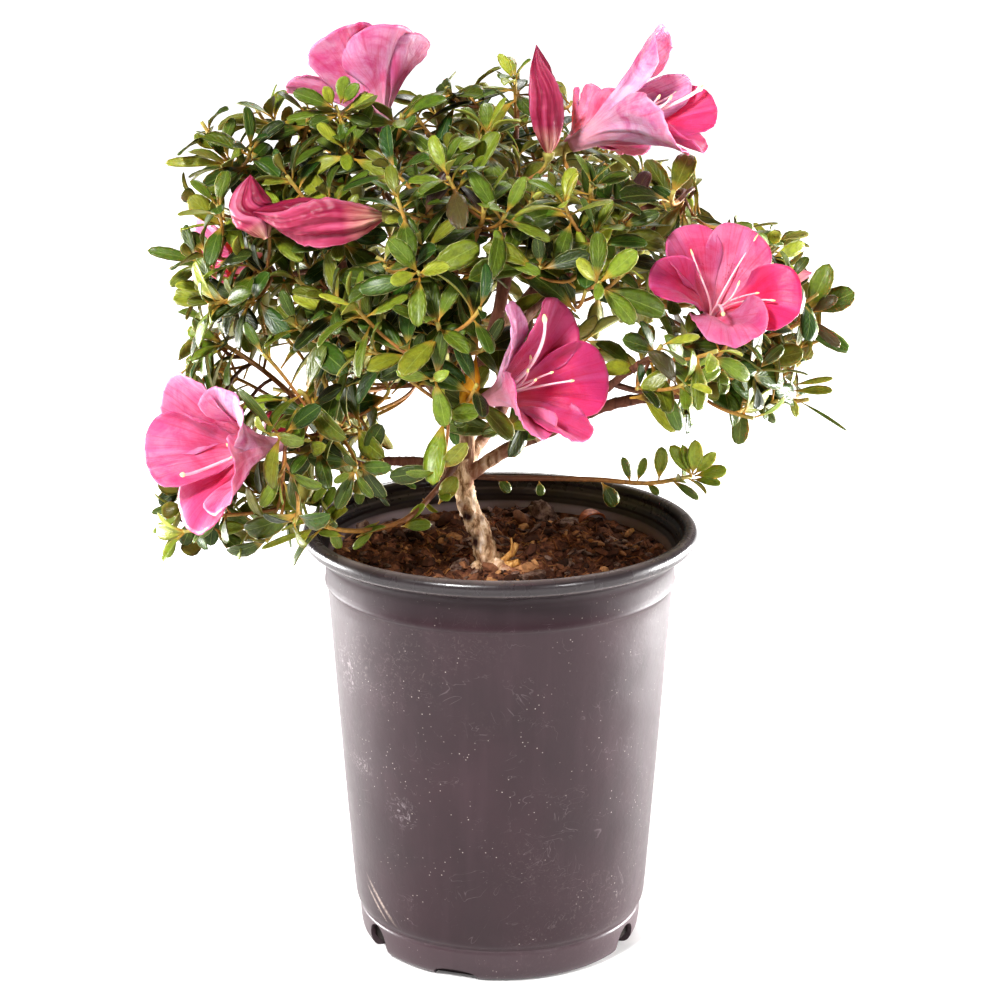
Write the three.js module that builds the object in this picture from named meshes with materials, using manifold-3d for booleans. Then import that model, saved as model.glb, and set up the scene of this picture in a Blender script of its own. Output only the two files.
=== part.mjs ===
// A satsuki azalea in training as a bonsai, in its round plastic nursery pot.
// The pot stands on z = 0 with its axis on the z axis. Millimetres, +Z up, the front towards -Y.

import * as THREE from 'three';
import { mergeVertices } from 'three/addons/utils/BufferGeometryUtils.js';
import Module from 'manifold-3d';

const wasm = await Module();
wasm.setup();

// Driving dimensions of the pot
const potHeight = 182;
const rimRadius = 82.5;
const neckRadius = 73;
const shoulderHeight = 158.8;
const lowRadius = 62.5;
const lowHeight = 21;
const footRadius = 58.5;
const wall = 1.7;
const floorThickness = 4.5;
const potSegments = 30;

// Driving dimensions of the plant
const soilHeight = 167;
const soilSegments = 24;
const clearance = 0.3;
const bladeThickness = 0.7;
const leafLength = { least: 18, most: 27 };
const leafWidthRatio = 0.42;
const corollaLength = 50;
const notchLength = 34;
const lobes = 5;
const stamenLength = { least: 30, most: 36 };
const pistilLength = 45;
const stalksPerBloom = 4;
const leavesPerTip = 4;
const crownCentre = new THREE.Vector3(5, 0, 280);
const crownRadii = new THREE.Vector3(142, 118, 98);

// Materials, one colour for each kind of piece
const finish = (color, roughness, metalness = 0) =>
  new THREE.MeshStandardMaterial({ color, roughness, metalness });
const potPlastic = finish('#5a4c52', 0.42);
const pottingMix = finish('#3a2a20', 0.95);
const oldBark = finish('#7a6555', 0.9);
const leafGreen = finish('#2f4f22', 0.45);
const petalRose = finish('#d9427c', 0.55);
const wiltedRose = finish('#b98a94', 0.75);
const stamenCream = finish('#e9d3c4', 0.6);
const budRed = finish('#7c2a38', 0.5);
const barkChip = finish('#6b4028', 0.9);

const tree = new THREE.Group();
const placed = [];

// A repeatable number from 0 to 1 for piece i and use k
function chance(i, k) {
  const wave = Math.sin(i * 12.9898 + k * 78.233) * 43758.5453;
  return wave - Math.floor(wave);
}

function vector(list) {
  return new THREE.Vector3(list[0], list[1], list[2]);
}

// A closed mesh as a solid. Triangles that shrank to a line at a pole are left out.
function solidOf(geometry) {
  const bare = geometry.clone();
  bare.deleteAttribute('normal');
  bare.deleteAttribute('uv');
  const merged = mergeVertices(bare, 1e-4);
  const corners = Array.from(merged.index.array);
  const triangles = [];
  for (let i = 0; i < corners.length; i += 3) {
    const [a, b, c] = [corners[i], corners[i + 1], corners[i + 2]];
    if (a !== b && b !== c && c !== a) {
      triangles.push(a, b, c);
    }
  }
  const mesh = new wasm.Mesh({
    numProp: 3,
    vertProperties: Float32Array.from(merged.attributes.position.array),
    triVerts: Uint32Array.from(triangles),
  });
  return new wasm.Manifold(mesh);
}

function solidFrom(positions, index, place = new THREE.Matrix4()) {
  const geometry = new THREE.BufferGeometry();
  geometry.setAttribute('position', new THREE.Float32BufferAttribute(positions, 3));
  geometry.setIndex(index);
  geometry.applyMatrix4(place);
  return solidOf(geometry);
}

// The largest body of a fused solid: loose scraps are dropped and sealed hollows filled
function oneBody(solid) {
  let best = null;
  for (const body of solid.decompose()) {
    if (best === null || body.volume() > best.volume()) {
      best = body;
    }
  }
  return best;
}

function joined(solids) {
  let sum = solids[0];
  for (const solid of solids.slice(1)) {
    sum = sum.add(solid);
  }
  return oneBody(sum);
}

function boxOf(solid) {
  const box = solid.boundingBox();
  return new THREE.Box3(vector(box.min), vector(box.max));
}

function keep(owner, solid, whorlNumber = null) {
  placed.push({ owner, whorlNumber, solid, box: boxOf(solid) });
}

// True where a solid meets a piece of another node, or a leaf of another whorl
function meetsOthers(owner, solid, whorlNumber = null) {
  const box = boxOf(solid);
  for (const other of placed) {
    const own = other.owner === owner && (other.whorlNumber === null || other.whorlNumber === whorlNumber);
    if (!own && box.intersectsBox(other.box) && !solid.intersect(other.solid).isEmpty()) {
      return true;
    }
  }
  return false;
}

function addNode(name, solid, material) {
  const mesh = solid.getMesh();
  const geometry = new THREE.BufferGeometry();
  geometry.setAttribute('position', new THREE.Float32BufferAttribute(mesh.vertProperties, 3));
  geometry.setIndex(Array.from(mesh.triVerts));
  geometry.computeVertexNormals();
  const piece = new THREE.Mesh(geometry, material);
  piece.name = name;
  tree.add(piece);
}

// A closed tube along a curve, its radius a function of the way along it.
// Where a facing is given, the middle of one flat side looks that way at the far end.
function tube(curve, steps, sides, radiusAt, facing = null) {
  const frames = curve.computeFrenetFrames(steps, false);
  let firstTurn = 0;
  if (facing !== null) {
    firstTurn = Math.atan2(facing.dot(frames.binormals[steps]), facing.dot(frames.normals[steps]));
    firstTurn += Math.PI / sides;
  }
  const positions = [];
  const index = [];
  for (let i = 0; i <= steps; i += 1) {
    const centre = curve.getPointAt(i / steps);
    for (let j = 0; j < sides; j += 1) {
      const turn = firstTurn + (2 * Math.PI * j) / sides;
      const radius = radiusAt(i / steps, turn);
      const spot = centre
        .clone()
        .addScaledVector(frames.normals[i], radius * Math.cos(turn))
        .addScaledVector(frames.binormals[i], radius * Math.sin(turn));
      positions.push(spot.x, spot.y, spot.z);
    }
  }
  const last = steps * sides;
  for (let j = 0; j < sides; j += 1) {
    const next = (j + 1) % sides;
    for (let i = 0; i < steps; i += 1) {
      const low = i * sides;
      const high = low + sides;
      index.push(low + j, low + next, high + next, low + j, high + next, high + j);
    }
    if (j > 0 && next > 0) {
      index.push(0, next, j, last, last + j, last + next);
    }
  }
  return solidFrom(positions, index);
}

const taper = (start, end) => (t) => start + (end - start) * t;

// Pot: outside from the flat foot to the rolled rim, then back down the inside
const shoulderRadius = neckRadius - 0.1;
const potOutside = [
  [0, 0],
  [footRadius - 4.5, 0],
  [footRadius - 1.4, 0.6],
  [footRadius + 1.1, 4],
  [footRadius + 1.9, 14.4],
  [footRadius + 3.2, 16.6],
  [lowRadius, lowHeight],
  [shoulderRadius - 0.4, shoulderHeight - 1.8],
  [shoulderRadius + 1.1, shoulderHeight],
  [neckRadius, shoulderHeight + 2.4],
  [neckRadius + 0.4, potHeight - 13],
  [rimRadius - 3.6, potHeight - 7.4],
  [rimRadius - 0.6, potHeight - 5.8],
  [rimRadius, potHeight - 3.2],
  [rimRadius - 1.2, potHeight - 0.8],
  [rimRadius - 3.2, potHeight],
  [rimRadius - 5.4, potHeight - 1.4],
];
const insideTop = [neckRadius - wall, potHeight - 12];
const insideFoot = [footRadius - 0.6, floorThickness];
const potInside = [insideTop, insideFoot, [0, floorThickness]];

function lathe(profile, segments) {
  const points = profile.map(([radius, height]) => new THREE.Vector2(radius, height));
  const geometry = new THREE.LatheGeometry(points, segments);
  geometry.rotateX(Math.PI / 2);
  return geometry;
}

// Drain notches in the foot: the turn, width and height of each slot through the wall
const drainNotches = [
  [-2.62, 13, 13],
  [-1.9, 19, 5],
  [-0.47, 14, 12],
  [0.4, 13, 10],
  [1.19, 13, 10],
  [1.97, 13, 10],
  [2.76, 13, 10],
];
const drainDepth = 12;

function drainSlots() {
  const slots = [];
  for (const [turn, width, height] of drainNotches) {
    const slot = new THREE.BoxGeometry(drainDepth, width, 2 * height);
    slot.translate(footRadius, 0, 0);
    slot.rotateZ(turn);
    slots.push(solidOf(slot));
  }
  return slots;
}

let pot = solidOf(lathe(potOutside.concat(potInside), potSegments));
for (const slot of drainSlots()) {
  pot = pot.subtract(slot);
}
pot = oneBody(pot);
keep('pot', pot);
addNode('pot', pot, potPlastic);

// Trunk and old limbs: hand-chosen way points, the radius falling evenly along each
const trunkWay = [
  [-4, -11, 150],
  [-5, -13, 168],
  [-8, -14, 181],
  [-14, -14, 196],
  [-16, -12, 213],
];
const limbWays = {
  leader: {
    points: [[-15, -12, 205], [-12, -6, 235], [-2, 2, 265], [4, 6, 300], [6, 10, 332]],
    radii: [4, 1.6],
  },
  right: {
    points: [[-15, -13, 205], [5, -12, 218], [22, -14, 226], [48, -18, 238], [84, -22, 243]],
    radii: [3.6, 1.5],
  },
  rising: {
    points: [[-6, -1, 252], [11, -10, 279], [31, -12, 297], [52, -8, 312], [68, -4, 320]],
    radii: [3, 1.4],
  },
  left: {
    points: [[-15, -13, 205], [-35, -18, 213], [-55, -28, 216], [-72, -38, 220]],
    radii: [2.6, 1.3],
  },
  leftRising: {
    points: [[-13, -8, 226], [-34, -6, 250], [-56, -4, 276], [-70, 0, 306]],
    radii: [3, 1.3],
  },
  backLeft: {
    points: [[-9, -3, 242], [-24, 22, 262], [-38, 48, 284], [-44, 66, 300]],
    radii: [2.8, 1.3],
  },
  backRight: {
    points: [[-4, 0, 256], [18, 26, 272], [38, 48, 288], [48, 64, 300]],
    radii: [2.8, 1.3],
  },
  front: {
    points: [[-12, -7, 230], [-14, -32, 250], [-18, -52, 270], [-20, -66, 290]],
    radii: [2.4, 1.2],
  },
  backLow: {
    points: [[-14, -10, 210], [-2, 18, 222], [8, 46, 234], [12, 68, 244]],
    radii: [2.6, 1.3],
  },
  frontRight: {
    points: [[14, -13, 222], [34, -34, 240], [46, -52, 256], [54, -68, 266]],
    radii: [2.1, 1.2],
  },
};
const rootWays = [
  [[-5, -13, 170], [-11, -19, 167.4], [-17, -23, 163]],
  [[-5, -13, 170], [3, -20, 167.2], [9, -23, 163]],
  [[-5, -12, 170], [2, -5, 167.6], [8, 0, 163]],
];
const trunkRadii = { foot: 6.4, neck: 4.5, fork: 4.2 };
const rootRadii = { start: 3, end: 1.4 };
const wayCurve = (points) => new THREE.CatmullRomCurve3(points.map(vector), false, 'centripetal');

function trunkRadius(t) {
  const spread = Math.max(0, 1 - 2 * t);
  return trunkRadii.fork + (trunkRadii.neck - trunkRadii.fork) * (1 - t) +
    (trunkRadii.foot - trunkRadii.neck) * spread;
}

const limbs = {};
const woodPieces = [tube(wayCurve(trunkWay), 6, 7, trunkRadius)];
for (const way of rootWays) {
  woodPieces.push(tube(wayCurve(way), 2, 4, taper(rootRadii.start, rootRadii.end)));
}
for (const [name, way] of Object.entries(limbWays)) {
  const curve = wayCurve(way.points);
  const radiusAt = taper(way.radii[0], way.radii[1]);
  limbs[name] = { curve, radiusAt };
  woodPieces.push(tube(curve, way.points.length - 1, 5, radiusAt));
}
const trunk = joined(woodPieces);
keep('trunk', trunk);

// Soil: fills the pot to below the rim, its top uneven, with a plain hole for the trunk and roots
function insideRadius(height) {
  const share = (height - insideFoot[1]) / (insideTop[1] - insideFoot[1]);
  const corner = insideFoot[0] + (insideTop[0] - insideFoot[0]) * share;
  return corner * Math.cos(Math.PI / potSegments);
}

// Height of the soil's top over its mean, as two crossing waves
function soilRise(x, y) {
  return 1.1 * Math.sin(x * 0.13 + 0.6) * Math.cos(y * 0.11) + 0.7 * Math.sin(x * 0.31 - y * 0.27);
}

const soilRings = [1, 0.74, 0.46, 0];

function soilBlock() {
  const edge = insideRadius(soilHeight) - clearance;
  const base = floorThickness + clearance;
  const profile = [
    [0, base],
    [insideRadius(base) - clearance, base],
    ...soilRings.map((share) => [edge * share, soilHeight]),
  ];
  const geometry = lathe(profile, soilSegments);
  const spots = geometry.attributes.position;
  for (let i = 0; i < spots.count; i += 1) {
    if (spots.getZ(i) > soilHeight - 1) {
      const reach = Math.hypot(spots.getX(i), spots.getY(i));
      const rise = reach > edge - 1 ? 0 : soilRise(spots.getX(i), spots.getY(i));
      spots.setZ(i, spots.getZ(i) + rise);
    }
  }
  return solidOf(geometry);
}

// The room that the trunk's foot and the roots take in the soil, three clearances wider than they are
function rootHole() {
  const room = 3 * clearance;
  const [low, high] = [vector(trunkWay[0]), vector(trunkWay[1])];
  const rise = high.clone().sub(low);
  const top = low.clone().addScaledVector(rise, 1.5);
  low.addScaledVector(rise.setLength(clearance), -1);
  const shapes = [tube(new THREE.LineCurve3(low, top), 1, 9, () => trunkRadii.foot + room)];
  for (const [start, bend, end] of rootWays) {
    const past = vector(end).sub(vector(bend)).setLength(room).add(vector(end)).toArray();
    const way = wayCurve([start, bend, past]);
    shapes.push(tube(way, 2, 4, taper(rootRadii.start + room, rootRadii.end + room)));
  }
  return shapes;
}

let soil = soilBlock();
for (const shape of rootHole()) {
  soil = soil.subtract(shape);
}
soil = oneBody(soil);
keep('soil', soil);

// Bark chips on the soil: flat splinters, each a six-sided slab
const chipPlaces = [
  { spot: [16, -27], length: 15, width: 8, turn: 0.4 },
  { spot: [-50, -34], length: 13, width: 7, turn: 1.9 },
  { spot: [44, -40], length: 12, width: 7, turn: -0.5 },
  { spot: [30, 44], length: 14, width: 8, turn: 1.1 },
  { spot: [-34, 42], length: 12, width: 7, turn: 2.6 },
];
const chipThickness = 2.6;
const chipCorners = 6;

// A chip comes down in small steps until it would touch the soil, and stays one clearance above it
function chip(place, number) {
  const outline = [];
  for (let i = 0; i < chipCorners; i += 1) {
    const turn = (2 * Math.PI * i) / chipCorners;
    const reach = 0.8 + 0.4 * chance(number, i);
    const along = (place.length / 2) * reach * Math.cos(turn);
    outline.push(new THREE.Vector2(along, (place.width / 2) * reach * Math.sin(turn)));
  }
  const shape = new THREE.Shape(outline);
  const slab = new THREE.ExtrudeGeometry(shape, { depth: chipThickness, bevelEnabled: false });
  slab.rotateZ(place.turn);
  const [x, y] = place.spot;
  slab.translate(x, y, soilHeight + chipThickness);
  const drop = clearance / 3;
  while (!meetsOthers('chip', solidOf(slab))) {
    slab.translate(0, 0, -drop);
  }
  slab.translate(0, 0, drop + clearance);
  return solidOf(slab);
}

// Blooms: where the tube starts, which way it faces and how far its lobes spread, in degrees
const blooms = {
  top: { base: [-46, -8, 345], axis: [-0.3, 0.56, 0.77], size: 0.98, spread: 59, roll: 0.62 },
  crest: { base: [28, -20, 343], axis: [0.74, -0.5, 0.46], size: 1.2, spread: 30, roll: 0.41 },
  behind: { base: [26, 18, 336], axis: [0.66, 0.6, 0.42], size: 0.82, spread: 62, roll: 0.2 },
  side: { base: [-92, 4, 297], axis: [-0.88, -0.38, 0.12], size: 0.76, spread: 60, roll: 0.9 },
  left: { base: [-86, -50, 229], axis: [-0.81, -0.58, 0.07], size: 1.07, spread: 60, roll: 0.87 },
  centre: { base: [-7, -84, 255], axis: [0.75, -0.5, 0.43], size: 1.05, spread: 61, roll: 0.96 },
  right: { base: [82, -46, 278], axis: [0.12, -0.7, 0.7], size: 0.95, spread: 84, roll: 0.85 },
};
const throatRadius = 2.2;
const throatFloor = { under: -0.2, over: 0.8 };
const calyxGap = clearance - throatFloor.under;
const tubeLean = 11;

// The bloom's side line: it leaves the base almost straight and turns outwards by the spread
function sideLine(length, spread, size) {
  const steps = 24;
  let radius = throatRadius;
  let height = 0;
  let lean = 0;
  for (let i = 0; i < steps; i += 1) {
    const way = ((i + 0.5) / steps) * (length / corollaLength);
    const ease = THREE.MathUtils.smoothstep(way, 0.2, 0.95);
    lean = THREE.MathUtils.degToRad(tubeLean + spread * ease);
    radius += (Math.sin(lean) * length) / steps;
    height += (Math.cos(lean) * length) / steps;
  }
  return { radius: radius * size, height: height * size, lean };
}

function bloomFrame(bloom) {
  const along = vector(bloom.axis).normalize();
  const up = new THREE.Vector3(0, 0, 1);
  const side = new THREE.Vector3().crossVectors(up, along).normalize();
  const over = new THREE.Vector3().crossVectors(along, side);
  return new THREE.Matrix4().makeBasis(side, over, along).setPosition(vector(bloom.base));
}

// Corolla: one funnel with a back and a face, its rim cut into five round lobes.
// Each lobe has a tip, two broad shoulders and the notch that parts it from the next.
const lobeRim = [
  { turn: 0, reach: 1 },
  { turn: 0.34, reach: 0.9 },
  { turn: 0.5, reach: 0 },
  { turn: 0.66, reach: 0.9 },
];

function corolla(bloom) {
  const columns = lobes * lobeRim.length;
  const rows = 3;
  const positions = [];
  const index = [];
  for (const face of [1, -1]) {
    for (let j = 0; j <= rows; j += 1) {
      for (let i = 0; i < columns; i += 1) {
        const spot = lobeRim[i % lobeRim.length];
        const turn = (2 * Math.PI * (Math.floor(i / lobeRim.length) + spot.turn)) / lobes + bloom.roll;
        const whole = notchLength + (corollaLength - notchLength) * spot.reach;
        const line = sideLine((whole * j) / rows, bloom.spread, bloom.size);
        const shift = (face * bladeThickness) / 2;
        const radius = line.radius + shift * Math.cos(line.lean);
        const height = line.height - shift * Math.sin(line.lean);
        positions.push(radius * Math.cos(turn), radius * Math.sin(turn), height);
      }
    }
  }
  const inner = (rows + 1) * columns;
  positions.push(0, 0, throatFloor.under, 0, 0, throatFloor.over);
  const backPole = 2 * inner;
  for (let i = 0; i < columns; i += 1) {
    const next = (i + 1) % columns;
    for (let j = 0; j < rows; j += 1) {
      const low = j * columns;
      const high = low + columns;
      index.push(low + i, low + next, high + next, low + i, high + next, high + i);
      index.push(inner + low + i, inner + high + next, inner + low + next);
      index.push(inner + low + i, inner + high + i, inner + high + next);
    }
    const rim = rows * columns;
    index.push(rim + i, rim + next, inner + rim + next, rim + i, inner + rim + next, inner + rim + i);
    index.push(backPole, next, i, backPole + 1, inner + i, inner + next);
  }
  return solidFrom(positions, index, bloomFrame(bloom));
}

// Stamens and pistil: thin stalks from one small root in the throat, bent up towards the top lobe
const heart = { rootTop: 5, rootRadius: 1.1, stalkRadius: 0.45, knobRadius: 0.75, lift: 5, splay: 2.6 };

function stamens(bloom, number) {
  const place = bloomFrame(bloom);
  const inBloom = (x, y, z) => new THREE.Vector3(x, y, z).applyMatrix4(place);
  const rootTop = heart.rootTop * bloom.size;
  const root = new THREE.LineCurve3(inBloom(0, 0, throatFloor.over + clearance), inBloom(0, 0, rootTop));
  const pieces = [tube(root, 1, 4, () => heart.rootRadius * bloom.size)];
  for (let i = 0; i < stalksPerBloom; i += 1) {
    const turn = (2 * Math.PI * i) / stalksPerBloom + 0.5 * chance(number, i);
    const pistil = i === 0;
    const stamen = THREE.MathUtils.lerp(stamenLength.least, stamenLength.most, chance(number, i + 10));
    const reach = (pistil ? pistilLength : stamen) * bloom.size;
    const splay = (pistil ? heart.splay / 2 : heart.splay) * bloom.size;
    const lift = heart.lift * bloom.size;
    const [across, over] = [Math.cos(turn), Math.sin(turn)];
    const curve = new THREE.QuadraticBezierCurve3(
      inBloom(0.4 * across, 0.4 * over, rootTop / 2),
      inBloom(splay * across, splay * over, reach * 0.55),
      inBloom(2 * splay * across, 2 * splay * over + lift, reach),
    );
    pieces.push(tube(curve, 2, 3, (t) => (t > 0.9 ? heart.knobRadius : heart.stalkRadius)));
  }
  return joined(pieces);
}

// Wilted blooms and buds: a rolled spindle with folds along it, thin at both ends
const wilted = {
  upright: { base: [19, -32, 341], way: [[19, -32, 341], [18, -33, 362], [14, -33, 384]], girth: 6 },
  drooping: { base: [-43, -76, 325], way: [[-43, -76, 325], [-67, -75, 323], [-95, -66, 325]], girth: 8.4 },
};
const buds = {
  left: { base: [-82, -51, 240], way: [[-82, -51, 240], [-88, -53, 239], [-93, -54, 236]], girth: 4.8 },
  right: { base: [114, -9, 286], way: [[114, -9, 286], [119, -10, 288.5], [126, -10, 290]], girth: 2.9 },
};

const spindleEnd = 0.16;

function spindle(shape, steps, sides, folds) {
  return tube(wayCurve(shape.way), steps, sides, (t, turn) => {
    const swell = Math.sin(Math.PI * t ** 0.85);
    const fold = 1 + folds * Math.cos((turn * sides) / 2);
    return shape.girth * Math.max(spindleEnd, swell) * fold;
  });
}

const bloomSolids = {};
for (const [number, [name, bloom]] of Object.entries(blooms).entries()) {
  bloomSolids[name] = { petals: corolla(bloom), heart: stamens(bloom, number + 1) };
  keep(`bloom_${name}`, bloomSolids[name].petals);
  keep(`stamens_${name}`, bloomSolids[name].heart);
}
const wiltedSolids = {};
for (const [name, shape] of Object.entries(wilted)) {
  wiltedSolids[name] = spindle(shape, 5, 10, 0.14);
  keep(`wilted_bloom_${name}`, wiltedSolids[name]);
}
const budSolids = {};
for (const [name, shape] of Object.entries(buds)) {
  budSolids[name] = spindle(shape, 4, 6, 0);
  keep(`bud_${name}`, budSolids[name]);
}

// Leafy boughs: the limb each grows on, the place along it, its shoot tips and what it bears
const boughs = {
  top: { limb: 'leader', at: 1, tips: [[7, 16, 367], [-12, 16, 359], [29, 14, 356]] },
  top_left: { limb: 'leader', at: 0.86, tips: [[-26, 18, 352], [-63, -20, 352]], bears: [blooms.top] },
  top_front: { limb: 'leader', at: 0.74, tips: [[-5, -38, 351], [-21, -76, 341]], bears: [wilted.upright] },
  high_front: {
    limb: 'front',
    at: 1,
    tips: [[-6, -85, 331], [-15, -90, 308], [-43, -95, 310]],
    bears: [wilted.drooping],
  },
  top_right: { limb: 'rising', at: 0.72, tips: [[35, -60, 335], [50, -48, 322]], bears: [blooms.crest] },
  right_high: { limb: 'rising', at: 1, tips: [[67, -48, 330], [78, -15, 315], [76, 38, 312]] },
  right_mid: { limb: 'rising', at: 0.5, tips: [[36, -84, 320], [32, -92, 300]] },
  front: { limb: 'front', at: 0.8, tips: [[-23, -112, 292], [-34, -100, 278]] },
  front_low: { limb: 'front', at: 0.55, tips: [[-22, -98, 254], [2, -82, 244]], bears: [blooms.centre] },
  front_right: { limb: 'frontRight', at: 1, tips: [[60, -102, 281], [52, -98, 264]] },
  right_front: { limb: 'frontRight', at: 0.7, tips: [[82, -80, 266], [99, -62, 262]], bears: [blooms.right] },
  right_low: { limb: 'right', at: 1, tips: [[125, -20, 240], [110, -46, 246]] },
  right_side: {
    limb: 'right',
    at: 0.78,
    tips: [[120, -36, 276], [135, -8, 264], [127, -22, 284]],
    bears: [buds.right],
  },
  right_upper: { limb: 'rising', at: 0.85, tips: [[112, -2, 302], [116, 32, 292]] },
  left_low: {
    limb: 'left',
    at: 1,
    tips: [[-77, -78, 258], [-61, -62, 240], [-58, -30, 228]],
    bears: [blooms.left, buds.left],
  },
  left_side: { limb: 'left', at: 0.8, tips: [[-118, -12, 264], [-115, 12, 243], [-125, -30, 204]] },
  left_front: { limb: 'leftRising', at: 0.6, tips: [[-77, -74, 282], [-50, -78, 284]] },
  left_upper: { limb: 'leftRising', at: 1, tips: [[-110, 6, 334], [-92, 10, 350], [-76, 10, 338]] },
  left_middle: {
    limb: 'leftRising',
    at: 0.82,
    tips: [[-118, -40, 300], [-98, -50, 302]],
    bears: [blooms.side],
  },
  left_crown: { limb: 'leftRising', at: 0.9, tips: [[-66, -50, 327], [-84, -34, 320]] },
  runner_right: { limb: 'right', at: 0.08, tips: [[80, 4, 201]], lies: true },
  runner_left: { limb: 'left', at: 0.12, tips: [[-77, -56, 199]], lies: true },
  back_left: { limb: 'backLeft', at: 1, tips: [[-58, 88, 318], [-30, 100, 306], [-76, 72, 298]] },
  back_left_low: { limb: 'backLeft', at: 0.62, tips: [[-80, 72, 264], [-106, 48, 282]] },
  back_right: { limb: 'backRight', at: 1, tips: [[62, 86, 314], [34, 98, 308], [86, 66, 300]] },
  back_right_low: { limb: 'backRight', at: 0.62, tips: [[94, 66, 268], [114, 36, 252]] },
  back_low: { limb: 'backLow', at: 1, tips: [[14, 104, 256], [38, 92, 240], [-16, 98, 244]] },
  back_top: { limb: 'leader', at: 0.66, tips: [[-8, 54, 346], [26, 58, 342], [2, 84, 328]] },
  back_crown: { limb: 'leader', at: 0.8, tips: [[-48, 42, 342], [-80, 42, 328]] },
  back_side: { limb: 'backLow', at: 0.5, tips: [[-96, 30, 232], [-70, 58, 230]] },
};
const twigRadius = { root: 1.35, tip: 0.85, side: 0.7, stalk: 0.7, calyx: 2.2 };
const whorlTop = 1.5;
const whorlStep = 1.3;

// The way a shoot faces at its tip: straight out of the crown's round outline and a little up
function outwardAt(tip, lies) {
  const out = tip.clone().sub(crownCentre).divide(crownRadii).divide(crownRadii).normalize();
  out.z += 0.25;
  if (lies) {
    out.z = 0.3;
  }
  return out.normalize();
}

function shootCurve(start, along, tip, outward, swing) {
  const reach = start.distanceTo(tip);
  const first = start.clone().addScaledVector(along, reach * 0.4).add(swing);
  const second = tip.clone().addScaledVector(outward, -reach * 0.35).add(swing);
  return new THREE.CubicBezierCurve3(start, first, second, tip);
}

const swingTries = 25;
const swingsPerTurn = 6;
const swingStep = 0.07;

// A shoot that would cross another node swings aside, a little further at each try
function clearShoot(owner, start, along, tip, outward, radiusAt) {
  const chord = tip.clone().sub(start);
  const reach = chord.length();
  const across = new THREE.Vector3(0, 0, 1).cross(chord).normalize();
  chord.normalize();
  for (let i = 0; i < swingTries; i += 1) {
    const size = reach * swingStep * Math.ceil(i / swingsPerTurn);
    const turn = (2 * Math.PI * i) / swingsPerTurn;
    const swing = across.clone().applyAxisAngle(chord, turn).multiplyScalar(size);
    const curve = shootCurve(start, along, tip, outward, swing);
    const guard = tube(curve, 4, 5, (t) => radiusAt(t) + clearance * Math.min(0.9, 0.45 + 4 * t));
    if (!meetsOthers(owner, guard)) {
      return curve;
    }
  }
  return null;
}

// The way a branch leaves another: well to the side of it, and a little along it
function branching(axis, towards) {
  const slant = 0.45;
  const across = towards.clone().addScaledVector(axis, -towards.dot(axis)).normalize();
  return across.addScaledVector(axis, slant).normalize();
}

// A bough starts just clear of the bark it grows from, at a slant to the limb or in line with its end
function boughStart(owner, bough, target) {
  const limb = limbs[bough.limb];
  const centre = limb.curve.getPointAt(bough.at);
  const axis = limb.curve.getTangentAt(bough.at);
  if (bough.at === 1) {
    return { start: centre.addScaledVector(axis, clearance), along: axis };
  }
  const along = branching(axis, target.clone().sub(centre));
  const stub = 3;
  let away = limb.radiusAt(bough.at) / 2;
  let touching = true;
  while (touching) {
    away += clearance / 3;
    const back = centre.clone().addScaledVector(along, away - clearance);
    const front = back.clone().addScaledVector(along, stub);
    const guard = tube(new THREE.LineCurve3(back, front), 1, 6, () => twigRadius.root + clearance);
    touching = meetsOthers(owner, guard);
  }
  return { start: centre.addScaledVector(along, away), along };
}

// Leaf blade: pointed at both ends, widest past the middle and arched from its foot to its tip
const leafOutline = [
  [0, 0],
  [0.36, -0.42],
  [0.72, -0.48],
  [1, 0],
  [0.72, 0.48],
  [0.36, 0.42],
];
const leafArch = { rise: 0.34, fall: 0.42 };
const leafFaces = [
  [0, 1, 5],
  [1, 2, 5],
  [2, 4, 5],
  [2, 3, 4],
];

function leafBlade(foot, along, upper, length, thickness, width) {
  const side = new THREE.Vector3().crossVectors(upper, along).normalize();
  const face = new THREE.Vector3().crossVectors(along, side).normalize();
  const count = leafOutline.length;
  const positions = [];
  const index = [];
  for (const sign of [1, -1]) {
    for (const [u, v] of leafOutline) {
      const arch = length * (leafArch.rise * u - leafArch.fall * u * u);
      const lift = arch + (sign * thickness) / 2;
      const spot = foot
        .clone()
        .addScaledVector(along, u * length)
        .addScaledVector(side, v * width)
        .addScaledVector(face, lift);
      positions.push(spot.x, spot.y, spot.z);
    }
  }
  for (const [a, b, c] of leafFaces) {
    index.push(a, b, c, count + a, count + c, count + b);
  }
  for (let i = 0; i < count; i += 1) {
    const next = (i + 1) % count;
    index.push(count + i, count + next, next, count + i, next, i);
  }
  return solidFrom(positions, index);
}

// The side of a shoot that its first leaf stands on, turned a little further at each tip
const whorlTurn = 2.4;

function whorlFacing(number, outward) {
  const level = new THREE.Vector3(0, 0, 1).cross(outward).normalize();
  return level.applyAxisAngle(outward, number * whorlTurn);
}

const leafOpening = { least: 48, spread: 34, closer: 7 };
const leafTurn = { spread: 0.4, aside: 0.21 };
const leafTries = 5;

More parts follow.
